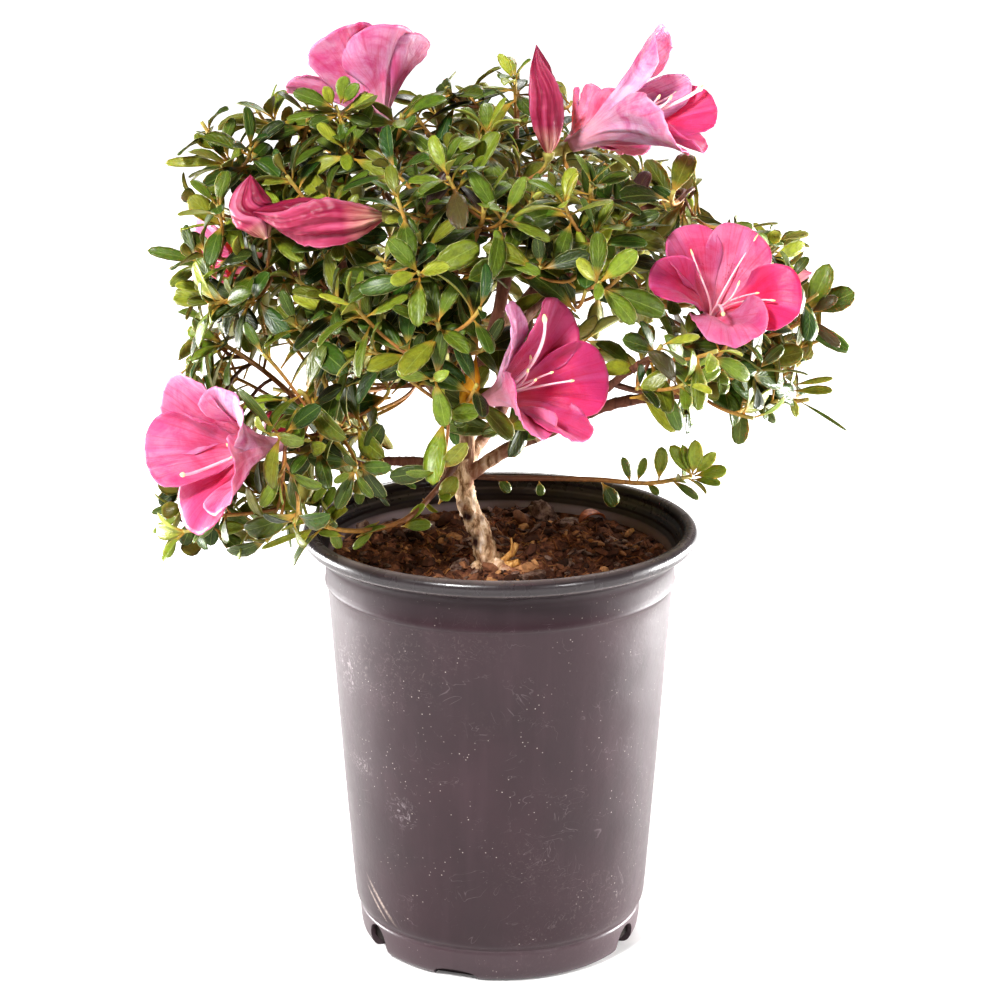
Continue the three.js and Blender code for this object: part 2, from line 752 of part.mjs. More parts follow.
// One whorl of leaves round a shoot tip. A leaf that would cross another node bends closer or is left off.
function whorl(owner, number, tip, outward) {
  const leaves = [];
  const first = whorlFacing(number, outward);
  const second = outward.clone().cross(first);
  for (let i = 0; i < leavesPerTip; i += 1) {
    const seed = number * 10 + i;
    const length = THREE.MathUtils.lerp(leafLength.least, leafLength.most, chance(seed, 1));
    const width = length * leafWidthRatio * (0.9 + 0.3 * chance(seed, 2));
    for (let t = 0; t < leafTries; t += 1) {
      const sway = leafTurn.spread * (chance(seed, 3) - 0.5) + leafTurn.aside * t;
      const turn = (2 * Math.PI * i) / leavesPerTip + sway;
      const opening = leafOpening.least + leafOpening.spread * chance(seed, 4) - leafOpening.closer * t;
      const open = THREE.MathUtils.degToRad(opening);
      const radial = first.clone().multiplyScalar(Math.cos(turn)).addScaledVector(second, Math.sin(turn));
      const along = outward.clone().multiplyScalar(Math.cos(open)).addScaledVector(radial, Math.sin(open));
      const upper = outward.clone().multiplyScalar(Math.sin(open)).addScaledVector(radial, -Math.cos(open));
      const foot = tip.clone().addScaledVector(outward, -whorlTop - whorlStep * i);
      const room = { thickness: bladeThickness + clearance * 2, width: width * 1.06 };
      const guard = leafBlade(foot, along, upper, length * 1.02, room.thickness, room.width);
      if (!meetsOthers(owner, guard, number)) {
        leaves.push(leafBlade(foot, along, upper, length, bladeThickness, width));
        break;
      }
    }
  }
  return leaves;
}

const stalkFork = 0.62;
const shootForks = [0.42, 0.62];

// The stalk of a bloom or bud leaves the bough's twig and widens into the green calyx under it
function stalk(twig, burden) {
  const base = vector(burden.base);
  const way = burden.axis ? vector(burden.axis) : vector(burden.way[1]).sub(base);
  const axis = way.normalize();
  const start = twig.getPointAt(stalkFork);
  const end = base.clone().addScaledVector(axis, -calyxGap);
  const reach = start.distanceTo(end);
  const first = branching(twig.getTangentAt(stalkFork), end.clone().sub(start));
  first.multiplyScalar(reach * 0.3).add(start);
  const second = end.clone().addScaledVector(axis, -reach * 0.4);
  const curve = new THREE.CubicBezierCurve3(start, first, second, end);
  const calyx = burden.girth ? Math.min(twigRadius.calyx, burden.girth * 0.45) : twigRadius.calyx;
  return tube(curve, 5, 4, (t) => (t > 0.9 ? calyx : twigRadius.stalk));
}

// First every bough's wood grows, then the leaves find room between all of it
const grown = {};
let tipNumber = 0;
for (const [name, bough] of Object.entries(boughs)) {
  const owner = `bough_${name}`;
  const target = vector(bough.tips[0]);
  const { start, along } = boughStart(owner, bough, target);
  const outward = outwardAt(target, bough.lies);
  const mainRadius = taper(twigRadius.root, twigRadius.tip);
  const main = clearShoot(owner, start, along, target, outward, mainRadius);
  if (main === null) {
    throw new Error(`${owner} has no clear way`);
  }
  const wood = [tube(main, 4, leavesPerTip, mainRadius, whorlFacing(tipNumber, outward))];
  const tips = [{ tip: target, outward, number: tipNumber }];
  for (const [order, place] of bough.tips.slice(1).entries()) {
    const tip = vector(place);
    const facing = outwardAt(tip, bough.lies);
    const fork = shootForks[order];
    const from = main.getPointAt(fork);
    const heading = branching(main.getTangentAt(fork), tip.clone().sub(from));
    const radiusAt = taper(twigRadius.side, twigRadius.tip);
    const side = clearShoot(owner, from, heading, tip, facing, radiusAt);
    if (side === null) {
      throw new Error(`${owner} shoot ${order + 2} has no clear way`);
    }
    wood.push(tube(side, 3, leavesPerTip, radiusAt, whorlFacing(tipNumber + order + 1, facing)));
    tips.push({ tip, outward: facing, number: tipNumber + order + 1 });
  }
  for (const burden of bough.bears ?? []) {
    wood.push(stalk(main, burden));
  }
  tipNumber += bough.tips.length;
  grown[name] = { owner, wood, tips };
  for (const piece of wood) {
    keep(owner, piece);
  }
}
for (const bough of Object.values(grown)) {
  bough.leaves = [];
  for (const { tip, outward, number } of bough.tips) {
    const leaves = whorl(bough.owner, number, tip, outward);
    for (const leaf of leaves) {
      keep(bough.owner, leaf, number);
      bough.leaves.push(leaf);
    }
  }
}

addNode('soil', soil, pottingMix);
addNode('trunk', trunk, oldBark);
for (const [number, place] of chipPlaces.entries()) {
  addNode(`bark_chip_${number + 1}`, chip(place, number + 1), barkChip);
}
for (const bough of Object.values(grown)) {
  addNode(bough.owner, joined(bough.wood.concat(bough.leaves)), leafGreen);
}
for (const [name, solids] of Object.entries(bloomSolids)) {
  addNode(`bloom_${name}`, solids.petals, petalRose);
  addNode(`stamens_${name}`, solids.heart, stamenCream);
}
for (const [name, solid] of Object.entries(wiltedSolids)) {
  addNode(`wilted_bloom_${name}`, solid, wiltedRose);
}
for (const [name, solid] of Object.entries(budSolids)) {
  addNode(`bud_${name}`, solid, budRed);
}

export default tree;
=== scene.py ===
# A satsuki azalea in training as a bonsai, standing in its round plastic nursery pot.
# Sizes are in millimetres here, and become metres as each mesh is made. +Z is up and the front is -Y.
import math

import bpy
import numpy as np
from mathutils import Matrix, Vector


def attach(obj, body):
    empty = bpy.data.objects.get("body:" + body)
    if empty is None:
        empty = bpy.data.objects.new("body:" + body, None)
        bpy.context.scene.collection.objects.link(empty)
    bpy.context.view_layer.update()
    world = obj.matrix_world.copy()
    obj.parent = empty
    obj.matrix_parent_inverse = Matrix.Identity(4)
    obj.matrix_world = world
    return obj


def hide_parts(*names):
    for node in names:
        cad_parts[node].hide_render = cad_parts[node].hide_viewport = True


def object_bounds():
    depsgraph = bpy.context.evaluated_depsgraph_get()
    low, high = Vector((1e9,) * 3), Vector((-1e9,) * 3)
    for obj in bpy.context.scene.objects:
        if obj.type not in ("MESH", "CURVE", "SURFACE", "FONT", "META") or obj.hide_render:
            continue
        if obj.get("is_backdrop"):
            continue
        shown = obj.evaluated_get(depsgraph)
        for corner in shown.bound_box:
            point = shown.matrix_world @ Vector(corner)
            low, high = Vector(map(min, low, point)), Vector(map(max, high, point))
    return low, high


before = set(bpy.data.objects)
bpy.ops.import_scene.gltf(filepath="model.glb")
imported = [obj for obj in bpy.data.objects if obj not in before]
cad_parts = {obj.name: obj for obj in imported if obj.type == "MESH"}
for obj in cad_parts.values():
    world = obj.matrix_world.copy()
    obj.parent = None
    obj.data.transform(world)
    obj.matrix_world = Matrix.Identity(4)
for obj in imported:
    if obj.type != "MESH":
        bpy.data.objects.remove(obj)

cad_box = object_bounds()

# The view: a camera a little above the crown that looks slightly down, the way the plant was pictured.
# Its lens is long, so the pot's sides stay almost parallel. A pale floor runs out under and behind it.
MM = 0.001
eye_back, eye_high = 1100, 510
camera = bpy.data.objects.new("camera", bpy.data.cameras.new("camera"))
camera.data.lens = 99
camera.data.sensor_width = 36
camera.data.clip_end = 100
camera.location = (0, -eye_back * MM, eye_high * MM)
camera.rotation_euler = (math.radians(73.866), 0, 0)
bpy.context.collection.objects.link(camera)
bpy.context.scene.camera = camera


def paint(code):
    """A colour written as #rrggbb, turned into the shader's linear values."""
    shown = np.array([int(code[i:i + 2], 16) for i in (1, 3, 5)]) / 255
    return (*np.where(shown <= 0.04045, shown / 12.92, ((shown + 0.055) / 1.055) ** 2.4), 1)


def new_finish(name, **sockets):
    """A material whose even values are set on the shader's own sockets."""
    material = bpy.data.materials.new(name)
    material.use_nodes = True
    shader = material.node_tree.nodes["Principled BSDF"]
    for key, value in sockets.items():
        shader.inputs[key.replace("_", " ")].default_value = value
    return material


def node(owner, kind, inputs=(), **settings):
    """Adds a shader node to a material, or beside the node whose output is given. Each input takes a
    value, a colour as #rrggbb, or another node's output."""
    tree = getattr(owner, "node_tree", None) or owner.id_data
    made = tree.nodes.new(kind)
    for key, value in settings.items():
        setattr(made, key, value)
    for key, value in dict(inputs).items():
        if isinstance(value, bpy.types.NodeSocket):
            tree.links.new(value, made.inputs[key])
        else:
            made.inputs[key].default_value = paint(value) if isinstance(value, str) else value
    return made


def places(material, kind="Object", stretch=(1, 1, 1)):
    """Where a point lies: its Object place or its UV, stretched for the pattern that reads it."""
    spot = node(material, "ShaderNodeTexCoord").outputs[kind]
    return node(material, "ShaderNodeMapping", {"Vector": spot, "Scale": stretch}).outputs[0]


def grain(spots, scale, detail=3, roughness=0.55, warp=0):
    """Cloudy noise from 0 to 1."""
    inputs = {"Vector": spots, "Scale": scale, "Detail": detail, "Roughness": roughness, "Distortion": warp}
    return node(spots, "ShaderNodeTexNoise", inputs).outputs[0]


def how_far(spots):
    """How far each place is from the middle."""
    return node(spots, "ShaderNodeVectorMath", {0: spots}, operation="LENGTH").outputs["Value"]


def ramp(value, *stops):
    """Turns a value into a colour or a grey, through stops of (place, colour)."""
    made = node(value, "ShaderNodeValToRGB", {0: value})
    band = made.color_ramp
    while len(band.elements) < len(stops):
        band.elements.new(0.5)
    for element, (place, shade) in zip(band.elements, stops):
        element.position = place
        element.color = paint(shade) if isinstance(shade, str) else (shade, shade, shade, 1)
    return made.outputs[0]


def blended(share, first, second):
    """Two colours mixed by a share."""
    return node(share, "ShaderNodeMix", {0: share, 6: first, 7: second}, data_type="RGBA").outputs[2]


def sums(how, *values):
    """Arithmetic on numbers, such as ADD or SINE, of which the first is a node's output."""
    return node(values[0], "ShaderNodeMath", dict(enumerate(values)), operation=how).outputs[0]


def times(*values):
    """The product of two numbers."""
    return sums("MULTIPLY", *values)


def plug(value, socket):
    """Leads a node's output into a socket of the shader."""
    tree = value.id_data
    tree.links.new(value, tree.nodes["Principled BSDF"].inputs[socket])


def dress(colour, roughness=None, relief=None, depth=0.3):
    """Leads colour, roughness and relief into the shader. The relief's depth is in millimetres."""
    plug(colour, "Base Color")
    if roughness is not None:
        plug(roughness, "Roughness")
    if relief is not None:
        inputs = {"Height": relief, "Distance": depth * MM, "Strength": 1}
        plug(node(relief, "ShaderNodeBump", inputs).outputs[0], "Normal")


def make_mesh(name, points, faces, finish, uv=None, marks=(), sharp=None):
    """A smooth mesh from points and a list of face arrays, each holding faces with one number of corners."""
    points = np.asarray(points, float).reshape(-1, 3)
    corners = np.concatenate([np.ravel(part) for part in faces]).astype(np.int32)
    sizes = np.concatenate([np.full(len(part), np.shape(part)[1]) for part in faces])
    mesh = bpy.data.meshes.new(name)
    mesh.vertices.add(len(points))
    mesh.vertices.foreach_set("co", (points * MM).astype(np.float32).ravel())
    mesh.loops.add(len(corners))
    mesh.loops.foreach_set("vertex_index", corners)
    mesh.polygons.add(len(sizes))
    mesh.polygons.foreach_set("loop_start", (np.cumsum(sizes) - sizes).astype(np.int32))
    mesh.polygons.foreach_set("use_smooth", np.ones(len(sizes), bool))
    mesh.update(calc_edges=True)
    if uv is not None:
        layer = mesh.uv_layers.new(name="UVMap")
        layer.uv.foreach_set("vector", np.reshape(uv, (-1, 2))[corners].astype(np.float32).ravel())
    for mark, values in dict(marks).items():
        values = np.broadcast_to(values, len(points)) if np.ndim(values) == 0 else np.ravel(values)
        mesh.attributes.new(mark, "FLOAT", "POINT").data.foreach_set("value", values.astype(np.float32))
    if sharp is not None:
        mesh.set_sharp_from_angle(angle=math.radians(sharp))
    mesh.materials.append(finish)
    piece = bpy.data.objects.new(name, mesh)
    bpy.context.collection.objects.link(piece)
    return piece


# The floor glows, faintly by the pot and brighter farther off: it shows white and lights the plant from low
# down, though it is no lamp
floor_paint = new_finish("pale_floor", Roughness=0.9, Emission_Color=(1, 1, 1, 1))
dress(ramp(grain(places(floor_paint), 1.5), (0.3, "#eeedec"), (0.7, "#f4f3f2")))
afar = how_far(places(floor_paint))
plug(ramp(times(afar, 0.5), (0.1, 0.1), (0.35, 0.55), (0.7, 0.92)), "Emission Strength")
floor_half = 60000
corners = [(x * floor_half, y * floor_half, 0) for x, y in ((-1, -1), (1, -1), (1, 1), (-1, 1))]
floor = make_mesh("floor", corners, [np.array([[0, 1, 2, 3]])], floor_paint)
floor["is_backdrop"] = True

# Soft studio light: a key panel at the upper left front, a weaker one at the right, a low wide panel at
# each side for the pot's bright flanks, one behind for the leaves' rims, and a dim white room all round.
# Each panel: its place, width and height in metres, and its power in watts.
room_light = 0.1
world = bpy.data.worlds.new("white_room")
bpy.context.scene.world = world
bpy.context.scene.view_settings.view_transform = "Standard"
bpy.context.scene.view_settings.look = "Medium High Contrast"
world.use_nodes = True
world.node_tree.nodes["Background"].inputs[0].default_value = (1, 1, 1, 1)
world.node_tree.nodes["Background"].inputs[1].default_value = room_light
aimed_at = (0, 0, 0.22)
panels = {
    "key_panel": ((-0.55, -1.0, 1.15), 0.24, 0.24, 27),
    "fill_panel": ((0.9, -1.1, 0.7), 0.3, 0.3, 6),
    "left_flank": ((-0.8, 0.32, 0.08), 0.5, 0.24, 17),
    "right_flank": ((0.8, 0.32, 0.08), 0.5, 0.24, 28),
    "back_panel": ((0.2, 0.95, 1.1), 0.5, 0.4, 9),
}
for name, (place, wide, tall, power) in panels.items():
    light = bpy.data.objects.new(name, bpy.data.lights.new(name, "AREA"))
    light.data.shape = "RECTANGLE"
    light.data.size, light.data.size_y = wide, tall
    light.data.energy = power
    light.location = place
    away = np.array(place) - aimed_at
    level = math.hypot(away[0], away[1])
    light.rotation_euler = (math.atan2(level, away[2]), 0, math.atan2(away[0], -away[1]))
    bpy.context.collection.objects.link(light)


# Pot: one moulded shell of dark satin plastic with a rolled rim, a stepped neck, a long taper and a
# rounded foot. Drain notches are cut through the foot's edge, as in the mould.
# Both lines are (radius, height), up the outside and over the rim, then down the inside.
foot_radius = 58.5
pot_turns = 144
inner_top, inner_foot = (71.1, 166), (58.1, 6.2)
pot_outside = [
    (12, 0.6), (50, 0.6), (51.5, 0), (54.4, 0), (56.8, 0.5), (58.5, 1.9), (59.6, 4.2), (60.3, 9),
    (60.4, 13.2), (59.9, 14.1), (60.1, 15), (61, 16.1), (61.9, 18), (62.5, 21.6), (67.3, 87),
    (72.1, 155.8), (72.5, 157.4), (73.5, 158.7), (73.2, 160.2), (72.9, 161.6), (73.2, 168.6),
    (75.2, 170.6), (78.6, 173.9), (81.4, 175.6), (82.3, 177.2), (82.5, 178.9), (81.9, 180.6),
    (80.5, 181.6), (79.2, 181.95), (77.6, 181.5), (76.6, 180.2),
]
pot_inside = [
    (76.3, 178.8), (76.6, 177.8), (75.3, 176.7), (74.5, 175), (73.6, 173.6), (73.9, 172.7), (72.6, 171.6),
    (71.6, 170.2), inner_top, (64.6, 87), inner_foot, (57.2, 4.7), (55.4, 4.5), (12, 4.5),
]


def soft_line(points, rounds=2):
    """A line with its corners cut off at a quarter of each side, again and again, so that they round."""
    line = np.asarray(points, float)
    for _ in range(rounds):
        first, last = line[:1], line[-1:]
        near = 0.75 * line[:-1] + 0.25 * line[1:]
        far = 0.25 * line[:-1] + 0.75 * line[1:]
        line = np.concatenate([first, np.stack([near, far], 1).reshape(-1, line.shape[1]), last])
    return line


def grid_faces(rows, columns, wrap=False, flip=False):
    """Four-cornered faces on a grid of points. wrap joins the last column to the first."""
    row = np.arange(rows - 1)[:, None]
    column = np.arange(columns if wrap else columns - 1)[None, :]
    right = (column + 1) % columns
    low, high = row * columns, (row + 1) * columns
    quads = np.stack([low + column, low + right, high + right, high + column], -1).reshape(-1, 4)
    return quads[:, ::-1] if flip else quads


def turns_round(count):
    """Even turns all the way round."""
    return 2 * np.pi * np.arange(count) / count


def tube_faces(rows, sides):
    """The faces of one closed rod or ring shape: its side, and a flat cap at both ends."""
    ring = np.arange(sides)[None]
    return [grid_faces(rows, sides, wrap=True), ring[:, ::-1], (rows - 1) * sides + ring]


def turned(profile, turns):
    """A profile of (radius, height) carried round the upright axis, as a grid of profile by turn."""
    turn = turns_round(turns)
    radius, height = profile[:, :1], profile[:, 1:]
    return np.stack([radius * np.cos(turn), radius * np.sin(turn), height + 0 * turn], -1)


pot_plastic = new_finish("dark_satin_plastic", Specular_IOR_Level=0.5)
here = places(pot_plastic)
clouds = grain(here, 22, 4)
streaks = grain(places(pot_plastic, stretch=(1, 1, 0.12)), 130, 3)
skin = ramp(clouds, (0.3, "#28161c"), (0.7, "#341e25"))
skin = blended(ramp(streaks, (0.5, 0), (0.85, 0.35)), skin, "#432e35")
scuffed_parts = ramp(grain(here, 14, 2), (0.5, 0), (0.7, 1))
scuffs = ramp(grain(here, 420, 4, 0.7, 1.5), (0.55, 0), (0.75, 0.4))
skin = blended(times(scuffed_parts, scuffs), skin, "#8d7f7c")
# Hairline scratches run where a curled pattern crosses its middle value, broken up by a second pattern
for stretch, scale in (((1, 1, 1), 26), ((1, 0.6, 1.4), 38)):
    curls = grain(places(pot_plastic, stretch=stretch), scale, 3, 0.55, 2.2)
    hairs = ramp(curls, (0.495, 0), (0.5, 0.27), (0.505, 0))
    broken = ramp(grain(places(pot_plastic, stretch=stretch), 70, 3), (0.53, 0), (0.66, 1))
    skin = blended(times(hairs, broken), skin, "#8f8285")
specks = node(pot_plastic, "ShaderNodeTexVoronoi", {"Vector": here, "Scale": 420, "Randomness": 1})
dust = ramp(specks.outputs["Distance"], (0.05, 1), (0.14, 0))
rare = ramp(grain(here, 60, 3), (0.5, 0), (0.62, 0.8))
skin = blended(times(dust, rare), skin, "#b9aea6")
gloss = ramp(grain(here, 60, 4), (0.3, 0.3), (0.75, 0.44))
height = node(pot_plastic, "ShaderNodeSeparateXYZ", {0: here}).outputs[2]


def by_height(*stops):
    """A grey that changes with the height on the pot: stops of (millimetres up, grey)."""
    span = 200
    return ramp(times(height, 1 / (span * MM)), *((up / span, grey) for up, grey in stops))


polished = by_height((159, 0), (164, 0.45), (170, 0.55), (174.4, 1))
skin = blended(polished, skin, ramp(clouds, (0.3, "#292325"), (0.7, "#373032")))
# Painted reflections: two thin pale rings along the rim's lip, where light glints along the ring, broken up
# by noise
painted_rim_glints = by_height((175.3, 0), (175.7, 0.3), (176.2, 0), (181.1, 0), (181.6, 0.5))
glint_breakup = ramp(grain(here, 120, 5, 0.7), (0.3, 0.55), (0.7, 1))
skin = blended(times(painted_rim_glints, glint_breakup), skin, "#a89a98")


def near_spot(material, centre, size, turn=(0, 0, 0)):
    """1 within an oval round a place on the piece, falling to 0 at its edge."""
    inputs = {"Vector": node(material, "ShaderNodeTexCoord").outputs["Object"], "Rotation": turn,
              "Location": np.array(centre) * MM, "Scale": np.array(size) * MM}
    spot = node(material, "ShaderNodeMapping", inputs, vector_type="TEXTURE").outputs[0]
    return ramp(how_far(spot), (0.35, 1), (1, 0))


# Two slanting tan scratches low on the left, and pale rub marks higher up on the same side
scratched = ramp(grain(here, 900, 3), (0.35, 0.25), (0.6, 0.8))
for centre, size in (((-49.7, -37.2, 27.5), (15, 3, 1.3)), ((-51.6, -34.6, 25.5), (11, 3, 0.9))):
    mark = times(near_spot(pot_plastic, centre, size, (0, 0.741, -0.902)), scratched)
    skin = blended(mark, skin, "#a8968c")
rub_marks = (((-62, -30, 128), (10, 12, 14)), ((-55, -33, 88), (13, 12, 5)), ((-38, -50, 74), (12, 9, 9)))
for centre, size in rub_marks:
    rub = ramp(grain(here, 260, 4, 0.7, 2.0), (0.52, 0), (0.7, 0.55))
    skin = blended(times(near_spot(pot_plastic, centre, size), rub), skin, "#b9adb0")

# The rim is smoother and the neck duller than the wall, the inside is painted pale to stand in for light
# falling in from above, and soil dust clings to the foot
slick = by_height((172, 0), (175.2, 1))
gloss = blended(slick, gloss, ramp(grain(here, 90, 4), (0.3, 0.2), (0.75, 0.36)))
neck_band = by_height((158, 0), (160, 1), (170, 1), (173.2, 0))
gloss = blended(times(neck_band, 0.75), gloss, (0.62, 0.62, 0.62, 1))
# Painted light: the inner wall above the soil is painted pale, as if lit from above
off_axis = how_far(places(pot_plastic, stretch=(1, 1, 0)))
painted_light_inside = ramp(times(off_axis, 10), (0.716, 1), (0.722, 0))
painted_light_inside = times(painted_light_inside, by_height((158, 0), (160, 1)))
skin = blended(painted_light_inside, skin, ramp(clouds, (0.3, "#8d7d83"), (0.7, "#a0939a")))
plug(ramp(neck_band, (0, 0.5), (1, 0.22)), "Specular IOR Level")
foot_dust = by_height((14, 0.45), (18, 0))
skin = blended(foot_dust, skin, "#57474c")
dress(skin, gloss, grain(here, 420, 3), 0.06)

pot_line = soft_line(pot_outside + pot_inside)
pot = make_mesh("pot_shell", turned(pot_line, pot_turns), tube_faces(len(pot_line), pot_turns), pot_plastic)


def notch_cutter(turn, width, height):
    """A block with a round top at the foot's edge: a doorway outline carried inwards along the radius."""
    below, inwards, outwards = -3, -6, 8
    arch = np.linspace(0, np.pi, 13)
    half = width / 2
    crown = min(half, 0.6 * height)
    outline = np.concatenate([
        [[half, below]],
        np.stack([half * np.cos(arch), height - crown + crown * np.sin(arch)], -1),
        [[-half, below]],
    ])
    across = np.array([-np.sin(turn), np.cos(turn), 0])
    out = np.array([np.cos(turn), np.sin(turn), 0])
    flat = outline[:, :1] * across + outline[:, 1:] * np.array([0, 0, 1])
    points = flat[None] + (foot_radius + np.array([inwards, outwards]))[:, None, None] * out
    return make_mesh("notch", points, tube_faces(2, len(outline)), pot_plastic)


def carve(piece, cutters):
    """Cuts the cutters out of a piece and applies the cuts."""
    for cutter in cutters:
        cut = piece.modifiers.new("cut", "BOOLEAN")
        cut.operation = "DIFFERENCE"
        cut.solver = "EXACT"
        cut.object = cutter
    bpy.context.view_layer.update()
    whole = bpy.data.meshes.new_from_object(piece.evaluated_get(bpy.context.evaluated_depsgraph_get()))
    piece.modifiers.clear()
    piece.data = whole
    for cutter in cutters:
        bpy.data.objects.remove(cutter)


# Each notch: its turn from the right, its width and its height
notches = [(-2.62, 13, 13), (-1.9, 19, 5), (-0.47, 14, 12), (0.4, 13, 10), (1.19, 13, 10), (1.97, 13, 10),
           (2.76, 13, 10)]
carve(pot, [notch_cutter(*notch) for notch in notches])
pot.data.set_sharp_from_angle(angle=math.radians(40))
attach(pot, "root")
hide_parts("pot")


# Soil: a dark peat and bark mix that fills the pot to below the rim, with crumbs and pale fibres on top.
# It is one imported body. The crumbs and fibres lie loose on it.
soil_height = 167
soil_rings, soil_turns = 84, 220
wall_gap = 0.25


def waves(spots, size, seed):
    """Smooth chance from about -1 to 1: the sum of sine waves, about one size long, in seeded directions."""
    count = 14
    dice = np.random.default_rng(seed)
    ways = dice.normal(size=(count, 3))
    paces = 2 * np.pi / size * dice.uniform(0.6, 1.7, (count, 1))
    ways *= paces / np.linalg.norm(ways, axis=1, keepdims=True)
    return np.sin(spots @ ways.T + dice.uniform(0, 2 * np.pi, count)).sum(-1) * math.sqrt(1.2 / count)


def soil_top(x, y):
    """Height of the soil: two long crossing waves, with lumps of several sizes on them."""
    flat = np.stack([x, y, 0 * x], -1)
    rise = 1.1 * np.sin(0.13 * x + 0.6) * np.cos(0.11 * y) + 0.7 * np.sin(0.31 * x - 0.27 * y)
    lumps = 0.9 * waves(flat, 9, 1) + 0.55 * np.abs(waves(flat, 4.2, 2)) + 0.28 * waves(flat, 1.9, 3)
    return soil_height + rise + lumps


def inside_radius(height):
    """Radius of the pot's inner wall at a height: even between its foot and its neck."""
    (foot, low), (neck, high) = inner_foot, inner_top
    return foot + (neck - foot) * (height - low) / (high - low)


potting_mix = new_finish("peat_and_bark_mix", Roughness=0.95, Specular_IOR_Level=0.25)
here = places(potting_mix)
coarse = grain(here, 160, 6, 0.65)
fine = grain(here, 700, 4, 0.7)
peat = ramp(coarse, (0.3, "#331e17"), (0.48, "#603c2e"), (0.62, "#98674c"), (0.8, "#c4936e"))
peat = blended(ramp(fine, (0.52, 0), (0.8, 0.6)), peat, "#86603f")
sunk = node(potting_mix, "ShaderNodeSeparateXYZ", {0: here}).outputs[2]
# Painted shade: the soil's sides low in the pot, against the wall, are painted near black, as shade deep
# inside the pot where the drain notches look in
peat = blended(ramp(sunk, (0.05, 0.95), (0.12, 0)), peat, "#0d0807")
dress(peat, None, sums("ADD", coarse, fine), 1.1)

edge = inside_radius(soil_height) - wall_gap
share = np.linspace(1, 0.004, soil_rings)[:, None]
turn = turns_round(soil_turns)
x, y = edge * share * np.cos(turn), edge * share * np.sin(turn)
calm = np.clip((1 - share) * 30, 0, 1)
top = np.stack([x, y, soil_height + calm * (soil_top(x, y) - soil_height)], -1)
wall_line = np.array([(inside_radius(h) - wall_gap, h) for h in (5.2, 60, 110, 150)])
soil_points = np.concatenate([turned(wall_line, soil_turns), top])
soil = make_mesh("potting_soil", soil_points, tube_faces(len(soil_points), soil_turns), potting_mix)
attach(soil, "root")
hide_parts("soil")


def lengths(vectors):
    """Each vector's length, kept as a last axis of one."""
    return np.linalg.norm(vectors, axis=-1, keepdims=True)


def unit(vectors):
    """Vectors of length one."""
    return vectors / np.maximum(lengths(vectors), 1e-9)


def repeat_faces(faces, count, points_each):
    """The same faces again for each of several copies of a set of points."""
    starts = (np.arange(count) * points_each)[:, None, None]
    return [(part[None] + starts).reshape(-1, part.shape[1]) for part in faces]


def lump_cloud(spots, sizes, turns, rough, seed, rows=5, columns=7):
    """Many small rough lumps: a ball on a grid of height by turn, dented, squashed and turned."""
    dice = np.random.default_rng(seed)
    high = np.linspace(0.12, np.pi - 0.12, rows)[:, None]
    around = turns_round(columns)
    wide = np.sin(high)
    ball = np.stack([wide * np.cos(around), wide * np.sin(around), -np.cos(high) + 0 * around], -1)
    ball = ball.reshape(-1, 3)[None] * (1 + rough * dice.uniform(-1, 1, (len(spots), rows * columns, 1)))
    ball = ball * sizes[:, None]
    cos, sin = np.cos(turns)[:, None], np.sin(turns)[:, None]
    tilt = dice.uniform(-0.5, 0.5, (len(spots), 1))
    x = ball[..., 0] * cos - ball[..., 1] * sin
    y = ball[..., 0] * sin + ball[..., 1] * cos
    z = ball[..., 2] + tilt * x
    points = np.stack([x, y, z], -1) + spots[:, None]
    return points, repeat_faces(tube_faces(rows, columns), len(spots), rows * columns)


def strewn(dice, count, margin, inner=0.01):
    """Chance places, evenly thick over the soil up to a margin from the wall."""
    reach = (edge - margin) * np.sqrt(dice.uniform(inner, 1, count))
    turn = dice.uniform(0, 2 * np.pi, count)
    return reach * np.cos(turn), reach * np.sin(turn)


dice = np.random.default_rng(11)
crumbs = 1700
x, y = strewn(dice, crumbs, 3, 0.002)
size = dice.gamma(1.25, 0.62, crumbs)[:, None].clip(0.3, 4.6)
spots = np.stack([x, y, soil_top(x, y) + 0.25 * size[:, 0]], -1)
sizes = size * dice.uniform([0.8, 0.5, 0.4], [1.6, 1.0, 0.8], (crumbs, 3))
crumb_points, crumb_faces = lump_cloud(spots, sizes, dice.uniform(0, 6.3, crumbs), 0.25, 12)


def marked(material, mark):
    """A number that the mesh carries at each of its points."""
    return node(material, "ShaderNodeAttribute", attribute_name=mark).outputs["Fac"]


crumb_mix = new_finish("bark_crumbs", Roughness=0.9, Specular_IOR_Level=0.3)
here = places(crumb_mix)
tone = marked(crumb_mix, "tone")
bark = ramp(tone, (0, "#3a241b"), (0.4, "#6b4433"), (0.75, "#a06e50"), (1, "#cb9868"))
bark = blended(ramp(grain(here, 500, 4), (0.4, 0), (0.75, 0.6)), bark, "#2a1a12")
dress(bark, None, grain(here, 900, 4), 0.4)
tones = np.repeat(dice.uniform(0, 1, crumbs) ** 1.5, crumb_points.shape[1])
marks = {"tone": tones}
crumb_piece = make_mesh("soil_crumbs", crumb_points, crumb_faces, crumb_mix, marks=marks, sharp=38)
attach(crumb_piece, "root")


def rod_faces(count, rows, sides):
    """The faces of several rods that have the same number of rows and sides."""
    return repeat_faces(tube_faces(rows, sides), count, rows * sides)


def tubes(paths, radii, sides):
    """Round rods: at each point of each path, a ring square to the path at the radius given there."""
    ahead = unit(np.gradient(paths, axis=1))
    chord = unit(paths[:, -1] - paths[:, 0])
    guide = np.where(np.abs(chord[:, 2:]) > 0.8, [[1.0, 0.3, 0.1]], [[0.1, 0.2, 1.0]])
    aside = unit(np.cross(chord, guide))[:, None]
    first = unit(aside - (aside * ahead).sum(-1, keepdims=True) * ahead)
    second = np.cross(ahead, first)
    turn = turns_round(sides)
    ring = first[..., None, :] * np.cos(turn)[:, None] + second[..., None, :] * np.sin(turn)[:, None]
    return paths[..., None, :] + np.asarray(radii)[..., None, None] * ring


